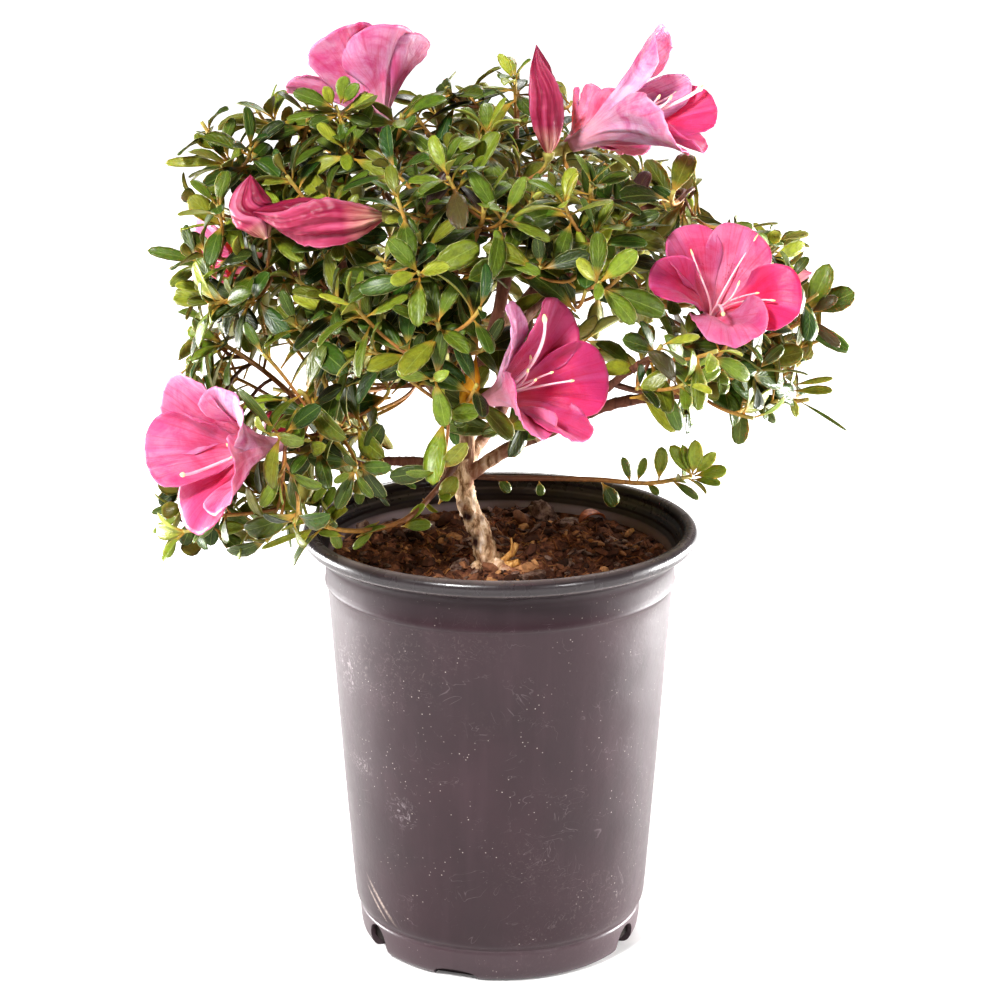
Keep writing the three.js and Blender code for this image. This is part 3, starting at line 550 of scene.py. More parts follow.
fibres = 420
fibre_rows, fibre_sides = 6, 5
x, y = strewn(dice, fibres, 6)
heading = dice.uniform(0, 2 * np.pi, fibres)
length = dice.uniform(3, 12, fibres)
along = np.linspace(-0.5, 0.5, fibre_rows)
bend = dice.uniform(-0.35, 0.35, fibres)
run = along[None] * length[:, None]
sway = bend[:, None] * length[:, None] * (along[None] ** 2 - 0.1)
x = x[:, None] + run * np.cos(heading)[:, None] - sway * np.sin(heading)[:, None]
y = y[:, None] + run * np.sin(heading)[:, None] + sway * np.cos(heading)[:, None]
inside = np.hypot(x, y).max(1) < edge - 2
x, y, length = x[inside], y[inside], length[inside]
rise = dice.uniform(-0.3, 1, (len(x), 1))
lift = soil_top(x, y) + 0.5 + 0.12 * length[:, None] * rise * (along[None] + 0.5)
paths = np.stack([x, y, lift], -1)
radii = dice.uniform(0.14, 0.42, (len(x), 1)) * np.array([0.5, 1, 1, 0.95, 0.8, 0.35])
straw = new_finish("pale_root_fibre", Roughness=0.8)
here = places(straw)
fibre_tone = marked(straw, "tone")
darker = ramp(grain(here, 300), (0.35, 0), (0.7, 0.7))
shade = ramp(fibre_tone, (0, "#6e3d20"), (0.6, "#9c6234"), (1, "#b98a52"))
dress(blended(darker, shade, "#4a2a18"))
fibre_points = tubes(paths, radii, fibre_sides)
fibre_faces = rod_faces(len(x), fibre_rows, fibre_sides)
tones = np.repeat(dice.uniform(0, 1, len(x)), fibre_rows * fibre_sides)
fibre_piece = make_mesh("soil_fibres", fibre_points, fibre_faces, straw, marks={"tone": tones})
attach(fibre_piece, "root")


def shell_faces(rows, columns):
    """A closed thin shell: a front and a back grid of points, joined all round their edges."""
    count = rows * columns
    front, back = grid_faces(rows, columns), grid_faces(rows, columns, flip=True) + count
    rim = np.concatenate([
        np.arange(columns - 1), np.arange(columns - 1, count - 1, columns),
        np.arange(count - 1, count - columns, -1), np.arange(count - columns, 0, -columns),
    ])
    after = np.roll(rim, -1)
    return [front, back, np.stack([rim, rim + count, after + count, after], -1)]


# Bark chips: five big pieces of composted bark that lie on the soil, and smaller slivers round them.
# Each is a flat slab with broken edges and a rough, grainy skin.
# Each has: x, y, length, width and turn.
chip_places = [
    (16, -27, 15, 8, 0.4), (-50, -34, 13, 7, 1.9), (44, -40, 12, 7, -0.5), (30, 44, 14, 8, 1.1),
    (-34, 42, 12, 7, 2.6),
]
chip_thickness, chip_lift, chip_tilt = 2.6, 0.1, 0.06
chip_sides = 36
chip_levels = np.array([0, 0.06, 0.3, 0.6, 0.9, 1, 1, 1, 1])[:, None]
chip_spreads = np.array([0.75, 0.95, 1, 0.97, 1, 0.92, 0.6, 0.3, 0.03])[:, None]
chip_bark = new_finish("composted_bark", Roughness=0.85, Specular_IOR_Level=0.3)
here = places(chip_bark)
rough_skin = grain(here, 260, 6, 0.7, 0.4)
shade = ramp(rough_skin, (0.28, "#2b1c17"), (0.45, "#5f453b"), (0.6, "#937a6e"), (0.8, "#bda698"))
dress(shade, None, rough_skin, 0.9)


def chip_slab(x, y, length, width, turn, seed, tilt):
    """A broken slab: rings of a six-cornered outline stacked through the thickness, dented on all sides."""
    dice = np.random.default_rng(seed)
    around = turns_round(chip_sides)
    corner = np.interp(around, np.linspace(0, 2 * np.pi, 7), np.tile(dice.uniform(0.78, 1.12, 6), 2)[:7])
    along = length / 2 * corner * chip_spreads * np.cos(around)
    across = width / 2 * corner * chip_spreads * np.sin(around)
    slab = np.stack([along, across, chip_thickness * chip_levels + 0 * around], -1)
    slab = slab + 0.45 * np.stack([waves(slab, 3.2, seed + k) for k in (1, 2, 3)], -1) * [0.8, 0.8, 0.5]
    cos, sin = math.cos(turn), math.sin(turn)
    px = x + slab[..., 0] * cos - slab[..., 1] * sin
    py = y + slab[..., 0] * sin + slab[..., 1] * cos
    base = soil_top(np.array([x]), np.array([y]))[0] + chip_lift
    return np.stack([px, py, base + slab[..., 2] + tilt * slab[..., 0]], -1)


for number, (x, y, length, width, turn) in enumerate(chip_places):
    slab = chip_slab(x, y, length, width, turn, 60 + number, chip_tilt * (-1) ** number)
    faces = tube_faces(len(chip_levels), chip_sides)
    chip = make_mesh(f"chip_{number + 1}", slab, faces, chip_bark, sharp=45)
    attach(chip, "root")
    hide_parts(f"bark_chip_{number + 1}")

# Small slivers, scattered: thin flat lumps that lie at chance angles
dice = np.random.default_rng(21)
slivers = 120
x, y = strewn(dice, slivers, 6)
sizes = dice.uniform([1.6, 0.9, 0.35], [4.6, 2.3, 0.9], (slivers, 3))
spots = np.stack([x, y, soil_top(x, y) + 0.7], -1)
sliver_points, sliver_faces = lump_cloud(spots, sizes, dice.uniform(0, 6.3, slivers), 0.18, 22)
slivers_piece = make_mesh("bark_slivers", sliver_points, sliver_faces, chip_bark, sharp=40)
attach(slivers_piece, "root")

# Three thick lumps of bark that stand out of the mix
lump_spots = np.array([(19, 52, 170.5), (-58, 24, 170), (-17, -22, 169)])
lump_sizes = np.array([(6.2, 4.6, 5.2), (4.2, 3.4, 4.6), (4.8, 3.4, 3.4)])
lump_turns = np.array([0.3, 1.9, 0.8])
lump_points, lump_faces = lump_cloud(lump_spots, lump_sizes, lump_turns, 0.09, 23, rows=14, columns=20)
dents = np.stack([waves(lump_points.reshape(-1, 3), 4, 24 + k) for k in range(3)], -1)
lump_points = lump_points + 0.7 * dents.reshape(lump_points.shape)
lumps_piece = make_mesh("bark_lumps", lump_points, lump_faces, chip_bark, sharp=50)
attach(lumps_piece, "root")

# Two cut stubs of old shoots by the trunk and a thin one beside them, in golden wood with a streaked grain
stub_wood = new_finish("cut_stub_wood", Roughness=0.7)
stub_grain = grain(places(stub_wood, stretch=(1, 1, 0.3)), 700, 4)
dress(ramp(stub_grain, (0.3, "#6e4320"), (0.5, "#b3803f"), (0.72, "#dcb67c")), None, stub_grain, 0.4)
stub_ways = np.array([
    [(-1, -13, 168), (2, -14, 170), (5, -14, 173), (7, -13.5, 177)],
    [(-2, -15, 167.5), (2, -17, 168.5), (5, -18, 169.3), (8, -18.5, 170.5)],
    [(4, -14, 172), (5, -14.4, 174.5), (5, -14.2, 177), (4.6, -14, 179.5)],
], float)
stub_radii = np.array([[1.7, 1.6, 1.5, 1.3], [1.8, 1.8, 1.7, 1.5], [0.8, 0.7, 0.6, 0.5]])
stub_sides = 12
stub_rods = tubes(stub_ways, stub_radii, stub_sides)
stubs = make_mesh("cut_stubs", stub_rods, rod_faces(*stub_radii.shape, stub_sides), stub_wood, sharp=50)
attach(stubs, "root")

# A dry leaf that has curled up on the mix: a strip that bends over along its length and hollows across it
dry_rows, dry_columns = 22, 9
half_thickness = np.array([0, 0, 0.25])
along = np.linspace(0, 1, dry_rows)[:, None]
across = np.linspace(-1, 1, dry_columns)[None]
half = 3.4 * np.sin(np.pi * along) ** 0.7 + 0.15
bend = 2.6 * (along - 0.5)
x = 6.5 * np.sin(bend) + 0 * across
z = 4.2 * np.cos(bend) + 1.3 * across**2 * np.sin(np.pi * along)
top = np.stack([x, half * across, z], -1)
x, y, z = np.moveaxis(top, -1, 0)
turned_leaf = np.stack([x * 0.9 - y * 0.43, x * 0.43 + y * 0.9, z], -1)
dry_leaf = np.stack([turned_leaf - half_thickness, turned_leaf + half_thickness]) + [40, 44, 168.5]
dry_skin = new_finish("dry_leaf", Roughness=0.55)
dry_grain = grain(places(dry_skin), 350, 4, 0.6)
dress(ramp(dry_grain, (0.3, "#5a2a14"), (0.5, "#a0522a"), (0.72, "#c98650")), None, dry_grain, 0.3)
fallen = make_mesh("dry_leaf", dry_leaf, shell_faces(dry_rows, dry_columns), dry_skin)
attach(fallen, "root")


# Trunk and old limbs: one piece of living wood with thin flaky bark. The trunk flares into three roots,
# leans a little and divides into limbs that taper out to the boughs.
# Each limb has: its line, and its radius where it leaves the trunk and at its end.
trunk_rows, trunk_sides = 90, 48
root_rows, root_sides = 26, 18
limb_rows, limb_sides = 120, 16
trunk_way = [(-4, -11, 150), (-5, -13, 168), (-8, -14, 181), (-14, -14, 196), (-16, -12, 213)]
limb_ways = {
    "leader": ([(-15, -12, 205), (-12, -6, 235), (-2, 2, 265), (4, 6, 300), (6, 10, 332)], 4, 1.6),
    "right": ([(-15, -13, 205), (5, -12, 218), (22, -14, 226), (48, -18, 238), (84, -22, 243)], 3.1, 1.4),
    "rising": ([(-6, -1, 252), (11, -10, 279), (31, -12, 297), (52, -8, 312), (68, -4, 320)], 3, 1.4),
    "left": ([(-15, -13, 205), (-35, -18, 213), (-55, -28, 216), (-72, -38, 220)], 2.6, 1.3),
    "leftRising": ([(-13, -8, 226), (-34, -6, 250), (-56, -4, 276), (-70, 0, 306)], 3, 1.3),
    "backLeft": ([(-9, -3, 242), (-24, 22, 262), (-38, 48, 284), (-44, 66, 300)], 2.8, 1.3),
    "backRight": ([(-4, 0, 256), (18, 26, 272), (38, 48, 288), (48, 64, 300)], 2.8, 1.3),
    "front": ([(-12, -7, 230), (-14, -32, 250), (-18, -52, 270), (-20, -66, 290)], 2.4, 1.2),
    "backLow": ([(-14, -10, 210), (-2, 18, 222), (8, 46, 234), (12, 68, 244)], 2.6, 1.3),
    "frontRight": ([(14, -13, 222), (34, -34, 240), (46, -52, 256), (54, -68, 266)], 2.1, 1.2),
}
root_ways = [
    [(-5, -13, 170), (-11, -19, 167.4), (-17, -23, 163)],
    [(-5, -13, 170), (3, -20, 167.2), (9, -23, 163)],
    [(-5, -12, 170), (2, -5, 167.6), (8, 0, 163)],
]


def even_way(line, count):
    """The same line as count points at even lengths along it."""
    step = lengths(np.diff(line, axis=0))[:, 0]
    run = np.concatenate([[0], np.cumsum(step)])
    want = np.linspace(0, run[-1], count)
    return np.stack([np.interp(want, run, line[:, axis]) for axis in range(3)], -1)


def smooth_way(points, count):
    """A curve through all the points that turns smoothly (centripetal Catmull-Rom), at even lengths."""
    p = np.asarray(points, float)
    p = np.concatenate([2 * p[:1] - p[1:2], p, 2 * p[-1:] - p[-2:-1]])
    gap = np.sqrt(lengths(np.diff(p, axis=0)))
    x0, x1, x2, x3 = p[:-3], p[1:-2], p[2:-1], p[3:]
    g0, g1, g2 = gap[:-2], gap[1:-1], gap[2:]
    leave = g1 * ((x1 - x0) / g0 - (x2 - x0) / (g0 + g1) + (x2 - x1) / g1)
    arrive = g1 * ((x2 - x1) / g1 - (x3 - x1) / (g1 + g2) + (x3 - x2) / g2)
    t = np.linspace(0, 1, 24)[None, :, None]
    x1, x2, leave, arrive = (part[:, None] for part in (x1, x2, leave, arrive))
    line = ((2 * t**3 - 3 * t**2 + 1) * x1 + (t**3 - 2 * t**2 + t) * leave
            + (3 * t**2 - 2 * t**3) * x2 + (t**3 - t**2) * arrive).reshape(-1, 3)
    keep = np.concatenate([[True], lengths(np.diff(line, axis=0))[:, 0] > 1e-6])
    return even_way(line[keep], count)


def barked(path, radii, sides, flake, seed):
    """A rod with bark: its rings are pushed in and out by long thin flakes and by chance lumps."""
    rod = tubes(path[None], np.asarray(radii)[None], sides)[0]
    out = unit(rod - path[:, None])
    spots = rod * [1, 1, 0.32]
    ridges = 1 - 2 * np.abs(waves(spots, 3.4, seed)).clip(0, 1)
    rise = 0.7 * ridges + 0.6 * waves(rod, 7, seed + 1) + 0.3 * waves(rod, 1.6, seed + 2)
    return rod + out * (flake * rise)[..., None]


old_bark = new_finish("flaky_bark", Roughness=0.85, Specular_IOR_Level=0.3)
here = places(old_bark)
plates = grain(places(old_bark, stretch=(1, 1, 0.3)), 330, 6, 0.65, 0.6)
patches = grain(places(old_bark, stretch=(1, 1, 0.6)), 110, 3)
fine = grain(here, 1500, 3)
shade = ramp(plates, (0.3, "#4a2f23"), (0.42, "#9a7554"), (0.54, "#d9b896"), (0.72, "#fbeada"))
shade = blended(ramp(patches, (0.5, 0), (0.66, 0.75)), shade, "#8a5642")
age = marked(old_bark, "age")
shade = blended(age, ramp(plates, (0.3, "#4e3026"), (0.7, "#7f5240")), shade)
for centre, size in (((-13.2, -17.6, 190), (3.2, 4.5, 3.2)), ((-10.4, -17.4, 178.5), (2.8, 4.5, 3.6))):
    shade = blended(near_spot(old_bark, centre, size), shade, "#32100c")
dress(shade, None, sums("ADD", plates, times(fine, 0.3)), 0.9)

trunk_line = smooth_way(trunk_way, trunk_rows)
t = np.linspace(0, 1, trunk_rows)
trunk_radii = 4.2 + 0.3 * (1 - t) + 1.9 * np.maximum(0, 1 - 2 * t) ** 1.2
rods = [barked(trunk_line, trunk_radii, trunk_sides, 0.6, 31)]
ages = [np.ones(rods[0].shape[:2])]
rod_sizes = [(trunk_rows, trunk_sides)]
# Knots where branches were cut off: share up the trunk, turn, height and width
knots = [(0.33, -1.9, 1.7, 1.6), (0.52, -1.6, 1.3, 1.4), (0.62, -0.6, 1.0, 1.2), (0.74, -2.3, 1.2, 1.3)]
out = unit(rods[0] - trunk_line[:, None])
for level, turn, height, width in knots:
    centre = trunk_line[int(level * (trunk_rows - 1))] + 4.6 * np.array([math.cos(turn), math.sin(turn), 0])
    near = np.exp(-(lengths(rods[0] - centre)[..., 0] / width) ** 2)
    rods[0] = rods[0] + out * (height * near)[..., None]
    ages[0] = ages[0] - 0.8 * near
for number, points in enumerate(root_ways):
    line = smooth_way(points, root_rows)
    rods.append(barked(line, np.linspace(3.2, 1.3, root_rows), root_sides, 0.25, 40 + number))
    ages.append(np.ones((root_rows, root_sides)))
    rod_sizes.append((root_rows, root_sides))
limbs = {}
for number, (name, (points, thick, thin)) in enumerate(limb_ways.items()):
    limbs[name] = line = smooth_way(points, limb_rows)
    radii = np.linspace(thick, thin, limb_rows)
    swell = 1 + 0.16 * np.maximum(0, waves(line, 26, 70 + number))
    rods.append(barked(line, radii * swell, limb_sides, 0.16, 50 + number))
    ageing = np.clip(0.9 - 2.6 * np.linspace(0, 1, limb_rows), 0, 1)
    ages.append(np.broadcast_to(ageing[:, None], (limb_rows, limb_sides)))
    rod_sizes.append((limb_rows, limb_sides))


def gather(rods, sizes):
    """All rods' points in one list, with each rod's faces counted on from the rod before."""
    starts = np.cumsum([0] + [rows * sides for rows, sides in sizes])
    faces = [part + start for start, size in zip(starts, sizes) for part in tube_faces(*size)]
    return np.concatenate([np.reshape(rod, (-1, 3)) for rod in rods]), faces


wood_points, wood_faces = gather(rods, rod_sizes)
ages = np.concatenate([np.ravel(part) for part in ages])
trunk = make_mesh("trunk_and_limbs", wood_points, wood_faces, old_bark, marks={"age": ages})
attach(trunk, "root")
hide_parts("trunk")


# Blooms: seven open corollas, each a short tube that spreads into five broad ruffled lobes which overlap
# in turn. The petals are thin and soft, deep rose inside and paler outside, with veins and a spotted blotch.
# Each lobe has: turn off its fifth, spread in degrees, length and width shares, cup, fold of its left and
# its right edge, and paleness.
blooms = {
    "top": dict(
        base=(-46, -8, 345), axis=(-0.3, 0.56, 0.77), size=0.98, spread=59, roll=0.62,
        lobes=[(0.2, 55, 0.96, 1.3, 3, 0, 0, 0.45), (-0.07, 58, 0.92, 1.45, 4, 0, 0, 0.35),
               (-0.4, 66, 0.93, 1.2, 4, 0, 0, 0.35), (0, 59, 1, 1, 2, 0, 0, 0.2),
               (-0.02, 65, 1, 0.62, 3, 2, 0, 0.4)]),
    "crest": dict(
        base=(28, -20, 343), axis=(0.86, -0.2, 0.46), size=1.2, spread=30, roll=0.6,
        lobes=[(-0.5, 6, 0.88, 1, 2, 0, 0, 0.9), (-0.5, 30, 0.98, 0.72, 5, 2, 2, 1),
               (0.5, 50, 0.92, 1.1, 5, 0, 0, 0.85), (-0.1, 34, 0.93, 1.2, 5, 0, 1, 0.1),
               (0, 20, 0.98, 1.15, 5, 1, 0, 0.05)]),
    "behind": dict(
        base=(26, 18, 336), axis=(0.66, 0.6, 0.42), size=0.82, spread=62, roll=0.2,
        lobes=[(0, 60, 0.86, 1, 3, 0, 0, 0.5), (0.1, 50, 0.72, 0.95, 4, 0, 1, 0.5),
               (0, 66, 0.84, 1.05, 2, 0, 0, 0.2), (-0.1, 60, 0.92, 1, 1, 1, 0, 0.3),
               (0, 58, 0.98, 0.9, 3, 0, 0, 0.6)]),
    "side": dict(
        base=(-92, 2, 294), axis=(-0.84, -0.4, -0.08), size=0.72, spread=60, roll=0.9,
        lobes=[(0, 60, 1, 1, 2, 0, 0, 0.2), (0.08, 66, 1, 0.95, 3, 0, 0, 0.5),
               (0, 56, 1.02, 1.05, 3, 1, 0, 0.3), (-0.08, 62, 0.97, 1, 2, 0, 1, 0.1),
               (0, 58, 1, 0.9, 4, 0, 0, 0.4)]),
    "left": dict(
        base=(-86, -50, 229), axis=(-0.81, -0.58, 0.07), size=1.06, spread=60, roll=0.9,
        lobes=[(0, 74, 0.93, 0.85, 6, 4, 4, 0.8), (0.1, 60, 1, 1.4, 3, 0, 3, 0.6),
               (-0.1, 38, 1.02, 1.35, 5, 1, 2, 0.35), (0.1, 66, 0.96, 1.45, 4, 0, 0, 0.1),
               (0, 60, 0.97, 1.2, 5, 3, 0, 0.45)]),
    "centre": dict(
        base=(-7, -84, 255), axis=(0.75, -0.5, 0.43), size=1.05, spread=61, roll=0.96,
        lobes=[(0.03, 59, 0.95, 1.08, 4, 0, 0, 0.1), (-0.1, 65, 1, 0.62, 3, 3, 0, 0.85),
               (0.08, 69, 0.95, 0.95, 3, 0, 5, 0.4), (-0.1, 61, 0.91, 1.12, 4, 0, 0, 0.1),
               (0.03, 61, 0.95, 1.05, 5, 0, 0, 0)]),
    "right": dict(
        base=(82, -46, 278), axis=(0.12, -0.7, 0.7), size=0.95, spread=84, roll=0.85,
        lobes=[(0.2, 82, 0.86, 1.05, 5, 0, 0, 0.45), (0.08, 78, 0.88, 1, 6, 0, 3, 0.25),
               (-0.17, 72, 0.93, 0.86, 6, 5, 0, 0.1), (0.05, 72, 1, 0.98, 7, 0, 5, 0.35),
               (-0.12, 76, 0.96, 1.1, 9, 1, 0, 0)]),
}
corolla_length, lobes = 50, 5
petal_thickness, throat_radius, throat_lean = 0.36, 2.2, 11
lobe_rows, lobe_columns = 32, 27


def ease(value, low, high):
    """A smooth step from 0 at low to 1 at high."""
    share = np.clip((value - low) / (high - low), 0, 1)
    return share * share * (3 - 2 * share)


def bloom_frame(bloom):
    """The bloom's own directions: across, over and along its axis."""
    along = unit(np.array(bloom["axis"], float))
    side = unit(np.cross([0, 0, 1], along))
    return np.stack([side, np.cross(along, side), along])


def side_line(spread, curl):
    """Radius, height and lean along a petal, which leaves the throat and turns outwards by the spread."""
    s = np.linspace(0, corolla_length + 3, 160)
    turned_out = spread * (0.43 * ease(s, 2, 22) + 0.34 * ease(s, 22, 50))
    lean = np.radians(throat_lean + turned_out + curl * ease(s, 36, 52))
    step = s[1] - s[0]
    radius = throat_radius + np.concatenate([[0], np.cumsum(np.sin(lean[:-1]) * step)])
    height = np.concatenate([[0], np.cumsum(np.cos(lean[:-1]) * step)])
    return s, radius, height, lean


def lobe(bloom, number, dice):
    """One lobe as two skins, from the throat to its round tip. Along it runs the side line, across it a part
    of the circle wider than a fifth, so lobes overlap. It is tilted, cupped, creased, folded and ruffled."""
    swing, spread, long, wide, cup, left_fold, right_fold, _ = bloom["lobes"][number]
    u = np.linspace(0, 1, lobe_rows)[:, None]
    v = np.linspace(-1, 1, lobe_columns)[None]
    tip = corolla_length * long
    scallop = 0.014 * np.sin(8 * v + dice.uniform(0, 6)) * np.abs(v)
    reach = tip * (1 - 0.06 * np.abs(v) - 0.31 * np.abs(v) ** 3 + scallop)
    s = u * reach
    line_s, line_radius, line_height, line_lean = side_line(spread, dice.uniform(-6, 16))
    radius, height, lean = (np.interp(s, line_s, part) for part in (line_radius, line_height, line_lean))
    opened = ease(s, 8, 40)
    half = np.pi / lobes * (1.05 + 0.36 * ease(s, 14, 36)) * (1 + (wide - 1) * ease(s, 12, 30))
    turn = 2 * np.pi * number / lobes + bloom["roll"] + v * half + swing * opened
    ruffle = 1.9 * np.sin(4.6 * v + 3.4 * u + dice.uniform(0, 6))
    ruffle = ruffle * ease(np.abs(v), 0.2, 1) * ease(u, 0.4, 1)
    swell = 1.6 * np.sin(2.6 * v - 5 * u + dice.uniform(0, 6)) * ease(u, 0.3, 0.8)
    frill = 0.4 * np.sin(15 * v + dice.uniform(0, 6)) * ease(u, 0.8, 1)
    crease = 1.1 * np.exp(-(v / 0.12) ** 2) * ease(s, 6, 20)
    wrinkle = 0.26 * np.sin(34 * v + 9 * np.sin(5 * u + number)) * ease(u, 0.35, 0.7)
    curve = cup * v * v * ease(s, 20, 50)
    folded = left_fold * ease(-v, 0.45, 1) + right_fold * ease(v, 0.45, 1)
    waving = ruffle + swell + frill + wrinkle - curve - folded * ease(u, 0.35, 0.8)
    lift = -0.85 * v * opened + waving * opened + crease
    skins = []
    for shift in (-petal_thickness / 2, petal_thickness / 2):
        away = lift + shift
        r = radius + away * np.cos(lean)
        h = height - away * np.sin(lean)
        local = np.stack([r * np.cos(turn), r * np.sin(turn), h], -1) * bloom["size"]
        skins.append(np.array(bloom["base"]) + local @ bloom_frame(bloom))
    uv = np.stack([s / corolla_length, 0 * s + (v + 1) / 2], -1)
    return skins, uv


def along_and_across(material):
    """How far along and across its petal or leaf a point lies, both from 0 to 1."""
    spot = node(material, "ShaderNodeTexCoord").outputs["UV"]
    return node(material, "ShaderNodeSeparateXYZ", {0: spot}).outputs[:2]


def petal_finish(name, deep, mid, pale, palest):
    """Petal skin: rose, deep within and paler at the rim and outside, with fine veins and a pale throat."""
    finish = new_finish(name, Specular_IOR_Level=0.35, Subsurface_Weight=0.2, Sheen_Weight=0.08,
                        Subsurface_Scale=0.003)
    here = places(finish)
    along, across = along_and_across(finish)
    middle = sums("ABSOLUTE", sums("SUBTRACT", across, 0.5))
    paleness = marked(finish, "pale")
    shade = ramp(along, (0, mid), (0.3, deep), (0.62, deep), (0.85, mid), (1, mid))
    cloud = grain(here, 75, 5, 0.65, 1.2)
    shade = blended(ramp(cloud, (0.4, 0), (0.62, 1)), shade, mid)
    light = blended(ramp(cloud, (0.36, 0), (0.6, 1)), pale, palest)
    shade = blended(times(ramp(middle, (0.3, 0.15), (0.5, 0.7)), 0.6), shade, pale)
    drift = grain(here, 38, 3, 0.5, 0.6)
    share = times(paleness, ramp(drift, (0.3, 0.55), (0.65, 1)))
    shade = blended(share, shade, light)
    veins = grain(places(finish, "UV", (1.4, 40, 1)), 1, 4, 0.65, 0.3)
    shade = blended(ramp(veins, (0.5, 0), (0.62, 0.4)), shade, deep)
    shade = blended(ramp(middle, (0, 0.3), (0.035, 0)), shade, pale)
    heart = times(ramp(along, (0.16, 0.75), (0.5, 0)), ramp(veins, (0.3, 1), (0.7, 0.3)))
    shade = blended(heart, shade, "#e69aa2")
    blotch = marked(finish, "blotch")
    dots = node(finish, "ShaderNodeTexVoronoi", {"Vector": places(finish, "UV", (26, 30, 1)), "Scale": 1})
    spots = times(ramp(dots.outputs["Distance"], (0.12, 0.9), (0.3, 0)), blotch)
    shade = blended(spots, shade, "#99103f")
    back = marked(finish, "back")
    streak = grain(places(finish, "UV", (3.2, 6, 1)), 1, 4, 0.6, 0.8)
    outer = sums("MULTIPLY_ADD", paleness, 0.75, 0.25)
    rear = blended(times(ramp(streak, (0.4, 0.15), (0.64, 0.9)), outer), shade, light)
    rear = blended(ramp(along, (0.1, 0.6), (0.36, 0)), rear, "#e2a2af")
    shade = blended(back, shade, rear)
    crinkle = grain(here, 300, 4, 0.6)
    relief = sums("ADD", times(veins, 0.6), times(crinkle, 0.8))
    dress(shade, ramp(crinkle, (0.3, 0.38), (0.7, 0.52)), relief, 0.35)
    return finish


rose = petal_finish("rose_petal", "#b01042", "#b42b64", "#c26498", "#d9aeca")
filament_cream = new_finish("cream_filament", Roughness=0.5, Subsurface_Weight=0.3, Subsurface_Scale=0.003)
tip = marked(filament_cream, "knob")
stalk_shade = ramp(grain(places(filament_cream), 140), (0.35, "#f3bccb"), (0.7, "#fbe3e4"))
knob_shade = ramp(tip, (0.45, "#f0b7c2"), (0.6, "#f6e6b4"), (1, "#efe3a0"))
dress(blended(tip, stalk_shade, knob_shade), None, grain(places(filament_cream), 900), 0.1)

# Where known filaments end, across, over and along the bloom's axis
filament_rows, filament_sides, filament_count = 24, 8, 6
filament_ends = {
    "left": [(9, -5, 48), (3, -2, 24), (2, 3, 22), (-2, 2, 23), (-3, -1, 20), (1, -3, 21)],
    "centre": [(-11, 20, 47), (8, -5, 36)],
    "right": [(-5, -21, 38), (-11, 16, 30), (18, 22, 30), (13, -8, 33), (19, -12, 33)],
    "crest": [(11, -2, 46), (12, -2, 40), (11, 0, 38), (1, 2, 34)],
}


def bezier(t, start, first, second, end):
    """A cubic Bezier curve: it leaves its start towards the first point and arrives from the second one."""
    return (1 - t) ** 3 * start + 3 * t * (1 - t) ** 2 * first + 3 * t**2 * (1 - t) * second + t**3 * end


def filaments(bloom, name, number):
    """The pistil and five stamens: each leaves the throat, bows out of line and ends in a knob."""
    dice = np.random.default_rng(300 + number)
    count = filament_count
    turn = turns_round(count) + dice.uniform(-0.4, 0.4, count)
    splay, reach = dice.uniform(4, 9, count), np.concatenate([[45], dice.uniform(29, 37, count - 1)])
    end = np.stack([splay * np.cos(turn), splay * np.sin(turn) + 5, reach], -1)
    known = np.array(filament_ends.get(name, end[:1]), float)
    end[:len(known)] = known
    t = np.linspace(0, 1, filament_rows)[None, :, None]
    aside = unit(end * [1, 1, 0] + [1e-6, 0, 0])
    start = 0.5 * aside + [0, 0, 1.6]
    bow = dice.uniform(-0.5, 0.9, (count, 1)) * 9 * np.cross(aside, [0, 0, 1]) + [0, -3, 0]
    first, second = start + reach[:, None] * [0, 0, 0.4], end * [0.45, 0.45, 0.8] + bow
    line = bezier(t, *(point[:, None] for point in (start, first, second, end)))
    pistil = np.arange(count)[:, None] == 0
    thick, swell = np.where(pistil, 0.68, 0.42), np.where(pistil, 1.2, 0.62)
    way = t[..., 0] + np.zeros((count, 1))
    knob = ease(way, 0.93, 0.965)
    ball = np.sqrt(np.clip(1.02 - ((way - 0.97) / 0.032) ** 2, 0.05, 1))
    radii = thick * (1.25 - 0.45 * way) * (1 - knob) + swell * knob * ball
    place = np.array(bloom["base"]) + (line * bloom["size"]) @ bloom_frame(bloom)
    return tubes(place, radii * bloom["size"], filament_sides), knob


